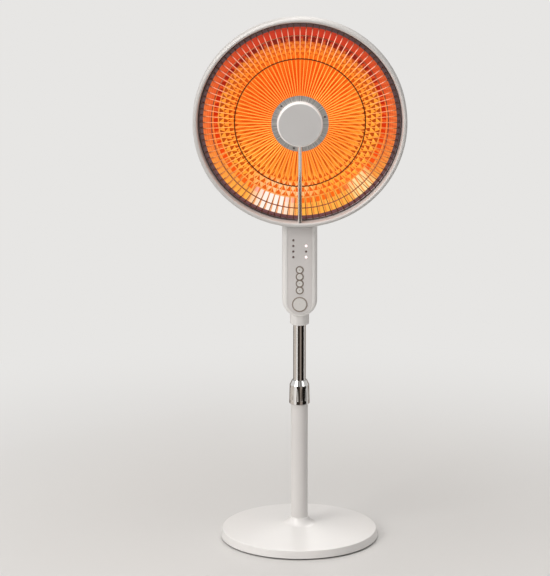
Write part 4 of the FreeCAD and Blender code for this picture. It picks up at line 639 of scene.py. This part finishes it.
# A row of square cells at the foot of the band, painted bright below and dark above: painted light and
# shade.
foot_reach = calc(glow_tree, "ADD", glow_radius, fade(glow_tree, glow_up, 0.08, 0.15, FOOT_WIDENING))
foot_rise = fade(glow_tree, foot_reach, FOOT_START - FOOT_SOFT, FOOT_START + FOOT_SOFT)
foot_fall = fade(glow_tree, glow_radius, FOOT_END + FOOT_SOFT, FOOT_END - FOOT_SOFT)
foot_zone = calc(glow_tree, "MULTIPLY", foot_rise, foot_fall)
foot_cells = fade(glow_tree, beat(glow_tree, glow_turn, SECTORS, 1.0), 0.12, 0.40, 0.92)
foot_light_and_shade_tone = height_ramp(glow_tree, glow_up, 3.0, [
    (0.05, (0.90, 0.13, 0.008)), (0.30, (0.84, 0.060, 0.005)), (0.55, (0.52, 0.016, 0.004)),
    (0.78, (0.25, 0.010, 0.006)), (0.95, (0.17, 0.014, 0.010))])
foot_share = calc(glow_tree, "MULTIPLY", foot_cells, foot_zone)
glow_footed = blend_colours(glow_tree, foot_share, glow_low, foot_light_and_shade_tone)
# Painted highlight: a bright amber line along the lip, low down.
lip_zone = between(glow_tree, glow_radius, LIP_START, LIP_END, 0.0004)
lip_highlight_share = calc(glow_tree, "MULTIPLY", fade(glow_tree, glow_up, 0.11, 0.0, 0.60), lip_zone)
glow_lit = blend_colours(glow_tree, lip_highlight_share, glow_footed, (1.0, 0.40, 0.070))
# Painted highlights: glares on the band, broken by the wires' painted reflections, and on the facets
# between the shaded cells.
pale_zone = between(glow_tree, glow_radius, PALE_START, FACET_END, 0.003)
glares = {
    "white_glare": (-0.300, (0.046, 0.0184), band_zone, mirror_lines, (1.0, 0.90, 0.82)),
    "straw_glare": (-0.130, (0.030, 0.012), band_zone, mirror_lines, (1.0, 0.74, 0.34)),
    "facet_highlight": (-0.285, (0.085, 0.02, 0.65), pale_zone, cell_dark, (1.0, 0.68, 0.40)),
}
for glare_turn, glare_width, glare_zone, glare_lines, glare_tone in glares.values():
    glare_near = fade(glow_tree, apart(glow_tree, glow_turn, glare_turn), *glare_width)
    glare_share = calc(glow_tree, "MULTIPLY", glare_near, glare_zone)
    glare_gaps = calc(glow_tree, "SUBTRACT", 1.0, glare_lines)
    glare_cells = calc(glow_tree, "MULTIPLY", glare_share, glare_gaps)
    glow_lit = blend_colours(glow_tree, glare_cells, glow_lit, glare_tone)
# Painted shade: the flange's glow falls to near black, with a faint red low down.
flange_share = fade(glow_tree, glow_radius, BAND_END - 0.0002, BAND_END + 0.0006)
flange_shade_tone = height_ramp(glow_tree, glow_up, 2.6, [
    (0.10, (0.085, 0.007, 0.010)), (0.35, (0.035, 0.006, 0.007)), (0.90, (0.030, 0.006, 0.006))])
glow_light = blend_colours(glow_tree, flange_share, glow_lit, flange_shade_tone)
glow_facing = make(glow_tree, "ShaderNodeTexCoord").outputs["Normal"]
glow_depth = make(glow_tree, "ShaderNodeSeparateXYZ", {"Vector": glow_facing}).outputs["Y"]
back_share = calc(glow_tree, "GREATER_THAN", glow_depth, 0.05)
glow_inside = blend_colours(glow_tree, back_share, glow_light, (0.0, 0.0, 0.0))
glow_tree.links.new(glow_inside, glow_shader.inputs["Emission Color"])
# Base colour: the painted glow dimmed nearly to black, and a dark grey on the flange, so the polished
# sheet's reflections stay dark: painted shade.
glow_sheen = blend_colours(glow_tree, 0.90, glow_lit, (0.02, 0.005, 0.002))
glow_body = blend_colours(glow_tree, flange_share, glow_sheen, (0.20, 0.165, 0.175))
glow_sheet = blend_colours(glow_tree, back_share, glow_body, (0.58, 0.57, 0.56))
glow_tree.links.new(glow_sheet, glow_shader.inputs["Base Color"])
glow_scuffs = noise(glow_tree, glow_place, 60.0, 3.0)
glow_rough = calc(glow_tree, "MULTIPLY_ADD", glow_scuffs, 0.14, 0.12)
glow_tree.links.new(glow_rough, glow_shader.inputs["Roughness"])
dish.data.materials.append(glow_metal)
dress(glow_metal, "reflector_dish", "reflector_band")

# Plug: a shallow dome pressed from the same sheet, which snaps into the hole in
# the middle of the dish and rests on it with a narrow flange.
PLUG_SEAT = 0.0212
PLUG_STEPS = 48
PLUG_CREASE = math.radians(40.0)
PLUG_OUTLINE = [
    (0.0, -0.0034), (0.0040, -0.0032), (0.0072, -0.0024), (0.0094, -0.0012), (0.0106, -0.0008),
    (0.0140, -0.0008), (0.0144, -0.0005), (0.0144, 0.0), (0.0112, 0.0), (0.0108, 0.0026), (0.0, 0.0026)]
plug_turns = [2 * math.pi * step / PLUG_STEPS for step in range(PLUG_STEPS)]
plug_points = [(0.0, PLUG_SEAT + PLUG_OUTLINE[0][1], HEAD_HEIGHT)]
for radius, depth in PLUG_OUTLINE[1:-1]:
    for turn in plug_turns:
        plug_height = HEAD_HEIGHT + radius * math.sin(turn)
        plug_points.append((radius * math.cos(turn), PLUG_SEAT + depth, plug_height))
plug_points.append((0.0, PLUG_SEAT + PLUG_OUTLINE[-1][1], HEAD_HEIGHT))
plug_back = len(plug_points) - 1
plug_faces = strip_faces(len(PLUG_OUTLINE) - 2, PLUG_STEPS, first=1)
for step in range(PLUG_STEPS):
    following = (step + 1) % PLUG_STEPS
    plug_faces.append((0, 1 + step, 1 + following))
    plug_faces.append((plug_back, plug_back - PLUG_STEPS + following, plug_back - PLUG_STEPS + step))
plug_mesh = bpy.data.meshes.new("dish_plug")
plug_mesh.from_pydata(plug_points, [], plug_faces)
plug_mesh.shade_smooth()
plug_mesh.set_sharp_from_angle(angle=PLUG_CREASE)
plug = add_object("dish_plug", plug_mesh)
# The plug takes the same painted glow as the dish.
plug.data.materials.append(glow_metal)
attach(plug, "head")

# Lamp: a ring of clear quartz with a glowing carbon filament, ceramic ends and
# steel clips, on a ceramic disc behind the hub plate.
lamp_ceramic = moulded("lamp_ceramic", (0.66, 0.60, 0.52), 0.60, grain=500.0, drift=0.1)
dress(lamp_ceramic, "lamp_carrier", "lamp_end_caps")
dress(zinc, "lamp_clips")
dress(light_pipe("hot_quartz", (0.90, 0.55, 0.25), (1.0, 0.45, 0.10), 1.5), "lamp_tube")
dress(light_pipe("hot_carbon", (0.30, 0.08, 0.03), (1.0, 0.55, 0.18), 3.0), "carbon_filament")


# Guard: chromed steel wires, bowed forward and spot-welded to a hub ring, two
# middle rings and a heavy rim ring. One bowed wire is repeated round the hub.
def grow(label, tree, sizes):
    """Mesh object that a node tree makes from its named sizes."""
    thing = add_object(label, bpy.data.meshes.new(label))
    modifier = thing.modifiers.new("build", "NODES")
    modifier.node_group = tree
    for item in tree.interface.items_tree:
        if item.in_out == "INPUT" and item.name in sizes:
            modifier[item.identifier] = sizes[item.name]
    bpy.context.view_layer.update()
    finished = thing.evaluated_get(bpy.context.evaluated_depsgraph_get())
    mesh = bpy.data.meshes.new_from_object(finished)
    thing.modifiers.remove(modifier)
    thing.data = mesh
    return thing


def new_tree(label, sizes):
    """Node tree with one input for each named size."""
    tree = bpy.data.node_groups.new(label, "GeometryNodeTree")
    for name, kind in sizes:
        tree.interface.new_socket(name, in_out="INPUT", socket_type=kind)
    tree.interface.new_socket("Mesh", in_out="OUTPUT", socket_type="NodeSocketGeometry")
    return tree, make(tree, "NodeGroupInput").outputs


def join_parts(tree, parts):
    """One geometry of several parts."""
    join = make(tree, "GeometryNodeJoinGeometry")
    for part in parts:
        tree.links.new(part, join.inputs[0])
    return join.outputs[0]


def end_tree(tree, parts, material=None):
    """Joins the parts, makes them real and smooth, and gives them a material
    unless each has its own."""
    real = make(tree, "GeometryNodeRealizeInstances", {0: join_parts(tree, parts)})
    smooth = make(tree, "GeometryNodeSetShadeSmooth", {0: real.outputs[0]})
    result = smooth
    if material:
        result = make(tree, "GeometryNodeSetMaterial", {0: smooth.outputs[0], "Material": material})
    output = make(tree, "NodeGroupOutput")
    tree.links.new(result.outputs[0], output.inputs[0])


def place_vector(tree, x, y, z):
    """Vector of three values or sockets."""
    return make(tree, "ShaderNodeCombineXYZ", {"X": x, "Y": y, "Z": z}).outputs[0]


WIRE = 0.0008
WIRE_STEPS = 20
WIRE_SIDES = 8
RING_WIRE = 0.0011
RIM_WIRE = 0.00175
RING_STEPS = 180
RING_SIDES = 10
WELD = 0.00003
HUB_SPOT = Vector((0.0, -0.063, 0.046))
RIM_SPOT = Vector((0.0, -0.05236, 0.18795))
RIM_RING_DEPTH = -0.04978
CROWN = 0.0022
MIDDLE_HOOP = 0.122
HOOPS = (0.0482, MIDDLE_HOOP, 0.165)
HOOP_BAND = 0.0014
HOOP_MARKS = (400.0, 400.0, 400.0)

chord = RIM_SPOT - HUB_SPOT
crown_way = Vector((0.0, -chord.z, chord.y)).normalized()
crown_spot = HUB_SPOT + chord * 0.5 + crown_way * CROWN
bow_radius = (chord.length ** 2 / 4 + CROWN ** 2) / (2 * CROWN)
bow_centre = crown_spot - crown_way * bow_radius


def ring_depth(radius):
    """Depth at which a ring of the guard lies against the back of the wires."""
    reach = bow_radius - WIRE - RING_WIRE - WELD
    return bow_centre.y - math.sqrt(reach ** 2 - (radius - bow_centre.z) ** 2)


# Painted light: the wires' colour is also their emission, the reflector's glow on the chrome painted in,
# dark below and pale above, bright orange on the inner wires.
guard_wire, wire_tree, wire_shader, wire_place = new_material("wire_painted_glow")
wire_shader.inputs["Metallic"].default_value = 0.85
wire_shader.inputs["Emission Strength"].default_value = 0.65
wire_up, wire_radius = head_axes(wire_tree, wire_place)[1:3]
wire_height_shade = height_ramp(wire_tree, wire_up, 2.6, [
    (0.10, (0.20, 0.070, 0.022)), (0.45, (0.62, 0.24, 0.08)), (0.80, (0.78, 0.40, 0.30))])
wire_inner = fade(wire_tree, wire_radius, 0.158, 0.132)
wire_inner_glow = blend_colours(wire_tree, wire_inner, wire_height_shade, (0.95, 0.36, 0.060))
wire_marks = noise(wire_tree, wire_place, 300.0, 2.0)
# Painted shade on the wires near the rim.
wire_outer = fade(wire_tree, wire_radius, 0.172, 0.181)
wire_rim_shade = blend_colours(wire_tree, wire_outer, wire_inner_glow, (0.030, 0.016, 0.014))
# The wires' colour and painted glow are darker in a band where they cross the middle hoop.
wire_hoop_band = between(wire_tree, wire_radius, MIDDLE_HOOP - HOOP_BAND, MIDDLE_HOOP + HOOP_BAND, 0.0006)
wire_banded = blend_colours(wire_tree, wire_hoop_band, wire_rim_shade, (0.10, 0.028, 0.010))
wire_streaks = calc(wire_tree, "MULTIPLY", wire_marks, 0.25)
wire_drawn = blend_colours(wire_tree, wire_streaks, wire_banded, (0.35, 0.16, 0.06))
wire_tree.links.new(wire_drawn, wire_shader.inputs["Base Color"])
wire_tree.links.new(wire_drawn, wire_shader.inputs["Emission Color"])
wire_tree.links.new(calc(wire_tree, "MULTIPLY_ADD", wire_marks, 0.2, 0.22), wire_shader.inputs["Roughness"])
# The chrome rings are tinted to stand for reflected light: painted shade on the hub, middle and rim rings,
# a painted orange glow on the outer ring.
guard_hoop = plated("hoop_painted_shade", (0.10, 0.035, 0.015), 0.30, HOOP_MARKS, 0.15)
outer_hoop = plated("hoop_painted_glow", (0.46, 0.17, 0.09), 0.32, HOOP_MARKS, 0.15)
rim_hoop = plated("rim_hoop", (0.19, 0.155, 0.16), 0.30, HOOP_MARKS, 0.15)
hoop_metals = (guard_hoop, guard_hoop, outer_hoop)
guard_sizes = [
    ("Wires", "NodeSocketInt"), ("Wire Radius", "NodeSocketFloat"), ("Ring Wire", "NodeSocketFloat"),
    ("Rim Wire", "NodeSocketFloat"), ("Head Height", "NodeSocketFloat")]
guard_tree, guard_in = new_tree("wire_guard", guard_sizes)
bowed = make(guard_tree, "GeometryNodeCurveArc", {
    "Resolution": WIRE_STEPS, "Start": HUB_SPOT, "Middle": crown_spot, "End": RIM_SPOT}, mode="POINTS")
wire_section = make(guard_tree, "GeometryNodeCurvePrimitiveCircle", {
    "Resolution": WIRE_SIDES, "Radius": guard_in["Wire Radius"]})
wire_mesh = make(guard_tree, "GeometryNodeCurveToMesh", {
    "Curve": bowed.outputs["Curve"], "Profile Curve": wire_section.outputs["Curve"], "Fill Caps": True})
hub_points = make(guard_tree, "GeometryNodePoints", {
    "Count": guard_in["Wires"], "Position": place_vector(guard_tree, 0.0, 0.0, guard_in["Head Height"])})
wire_number = make(guard_tree, "GeometryNodeInputIndex").outputs["Index"]
wire_share = calc(guard_tree, "DIVIDE", wire_number, guard_in["Wires"])
wire_turn = calc(guard_tree, "MULTIPLY", wire_share, 2 * math.pi)
wire_heated = make(guard_tree, "GeometryNodeSetMaterial", {
    "Geometry": wire_mesh.outputs["Mesh"], "Material": guard_wire})
wire_set = make(guard_tree, "GeometryNodeInstanceOnPoints", {
    "Points": hub_points.outputs[0], "Instance": wire_heated.outputs["Geometry"],
    "Rotation": place_vector(guard_tree, 0.0, wire_turn, 0.0)})
guard_parts = [wire_set.outputs["Instances"]]
guard_rings = [
    (radius, ring_depth(radius), "Ring Wire", metal) for radius, metal in zip(HOOPS, hoop_metals)]
guard_rings.append((RIM_SPOT.z, RIM_RING_DEPTH, "Rim Wire", rim_hoop))
for ring_radius, depth, thickness, metal in guard_rings:
    path = make(guard_tree, "GeometryNodeCurvePrimitiveCircle", {
        "Resolution": RING_STEPS, "Radius": ring_radius})
    section = make(guard_tree, "GeometryNodeCurvePrimitiveCircle", {
        "Resolution": RING_SIDES, "Radius": guard_in[thickness]})
    hoop = make(guard_tree, "GeometryNodeCurveToMesh", {
        "Curve": path.outputs["Curve"], "Profile Curve": section.outputs["Curve"]})
    stood = make(guard_tree, "GeometryNodeTransform", {
        "Geometry": hoop.outputs["Mesh"], "Rotation": (math.pi / 2, 0.0, 0.0),
        "Translation": place_vector(guard_tree, 0.0, depth, guard_in["Head Height"])})
    hoop_tinted = make(guard_tree, "GeometryNodeSetMaterial", {
        "Geometry": stood.outputs["Geometry"], "Material": metal})
    guard_parts.append(hoop_tinted.outputs["Geometry"])
end_tree(guard_tree, guard_parts)
guard = grow("wire_guard", guard_tree, {
    "Wires": GUARD_WIRES, "Wire Radius": WIRE, "Ring Wire": RING_WIRE, "Rim Wire": RIM_WIRE,
    "Head Height": HEAD_HEIGHT})
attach(guard, "head")
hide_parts("front_guard")

# Hub: aluminium plate brushed outwards from its middle, under a satin grey cap with
# a painted highlight round its edge. Three small dark screws fix the plate to the lamp's disc.
plate_metal, plate_tree, plate_shader, plate_place = new_material("brushed_plate")
plate_shader.inputs["Metallic"].default_value = 1.0
plate_turn = head_axes(plate_tree, plate_place)[3]
plate_noise = make(plate_tree, "ShaderNodeTexNoise", {
    "W": plate_turn, "Scale": 140.0, "Detail": 6.0}, noise_dimensions="1D")
plate_rays = plate_noise.outputs["Fac"]
plate_tone = ramp(plate_tree, plate_rays, [(0.30, (0.42, 0.41, 0.40)), (0.72, (0.86, 0.85, 0.83))])
plate_tree.links.new(plate_tone, plate_shader.inputs["Base Color"])
plate_rough = calc(plate_tree, "MULTIPLY_ADD", plate_rays, 0.15, 0.26)
plate_tree.links.new(plate_rough, plate_shader.inputs["Roughness"])
dress(plate_metal, "hub_plate")
CAP_EDGE_START = 0.0392
CAP_EDGE_END = 0.0408
cap_plastic = moulded("cap_plastic", (0.575, 0.565, 0.56), 0.34, grain=1500.0, relief=0.06, drift=0.05)
cap_tree = cap_plastic.node_tree
cap_shader = cap_tree.nodes["Principled BSDF"]
cap_face = cap_shader.inputs["Base Color"].links[0].from_socket
cap_place = make(cap_tree, "ShaderNodeTexCoord").outputs["Object"]
cap_radius = head_axes(cap_tree, cap_place)[2]
# Painted highlight: the cap's rounded edge is painted paler.
cap_edge = fade(cap_tree, cap_radius, CAP_EDGE_START, CAP_EDGE_END)
cap_edge_highlight = blend_colours(cap_tree, cap_edge, cap_face, (0.92, 0.915, 0.91))
cap_tree.links.new(cap_edge_highlight, cap_shader.inputs["Base Color"])
dress(cap_plastic, "hub_cap")

SCREWS = 3
SCREW_CIRCLE = 0.0482
SCREW_RADIUS = 0.0021
SCREW_HEIGHT = 0.0007
SCREW_SIDES = 20
SLOT_WIDTH = 0.0004
SLOT_DEPTH = 0.0003
SCREW_START = math.radians(-16.0)
PLATE_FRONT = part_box("hub_plate")[0][1]
screw_steel = plated("dark_screw", (0.16, 0.15, 0.15), 0.35, TURNED, 0.2)
screw_tree, screw_in = new_tree("plate_screws", [
    ("Screws", "NodeSocketInt"), ("Circle", "NodeSocketFloat"), ("Radius", "NodeSocketFloat"),
    ("Height", "NodeSocketFloat")])
screw_head = make(screw_tree, "GeometryNodeMeshCone", {
    "Vertices": SCREW_SIDES, "Radius Top": calc(screw_tree, "MULTIPLY", screw_in["Radius"], 0.7),
    "Radius Bottom": screw_in["Radius"], "Depth": screw_in["Height"]})
slot_length = calc(screw_tree, "MULTIPLY", screw_in["Radius"], 1.1)
screw_slot = make(screw_tree, "GeometryNodeMeshCube", {
    "Size": place_vector(screw_tree, slot_length, SLOT_WIDTH, SLOT_DEPTH)})
slot_up = make(screw_tree, "GeometryNodeTransform", {
    "Geometry": screw_slot.outputs["Mesh"],
    "Translation": place_vector(screw_tree, 0.0, 0.0, screw_in["Height"])})
screw_whole = join_parts(screw_tree, [screw_head.outputs["Mesh"], slot_up.outputs["Geometry"]])
screw_out = make(screw_tree, "GeometryNodeTransform", {
    "Geometry": screw_whole, "Rotation": (math.pi / 2, 0.0, 0.0),
    "Translation": place_vector(screw_tree, screw_in["Circle"], 0.0, 0.0)})
screw_spots = make(screw_tree, "GeometryNodePoints", {
    "Count": screw_in["Screws"], "Position": (0.0, PLATE_FRONT, HEAD_HEIGHT)})
screw_number = make(screw_tree, "GeometryNodeInputIndex").outputs["Index"]
screw_share = calc(screw_tree, "DIVIDE", screw_number, screw_in["Screws"])
screw_turn = calc(screw_tree, "MULTIPLY_ADD", screw_share, 2 * math.pi, SCREW_START)
screw_set = make(screw_tree, "GeometryNodeInstanceOnPoints", {
    "Points": screw_spots.outputs[0], "Instance": screw_out.outputs["Geometry"],
    "Rotation": place_vector(screw_tree, 0.0, screw_turn, 0.0)})
end_tree(screw_tree, [screw_set.outputs["Instances"]], screw_steel)
screws = grow("plate_screws", screw_tree, {
    "Screws": SCREWS, "Circle": SCREW_CIRCLE, "Radius": SCREW_RADIUS, "Height": SCREW_HEIGHT})
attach(screws, "head")

# Stalk: a straight chromed tube in front of the guard, which runs from the ring
# up to the hub and brings the leads to the lamp.
dress(chrome, "lamp_stalk")
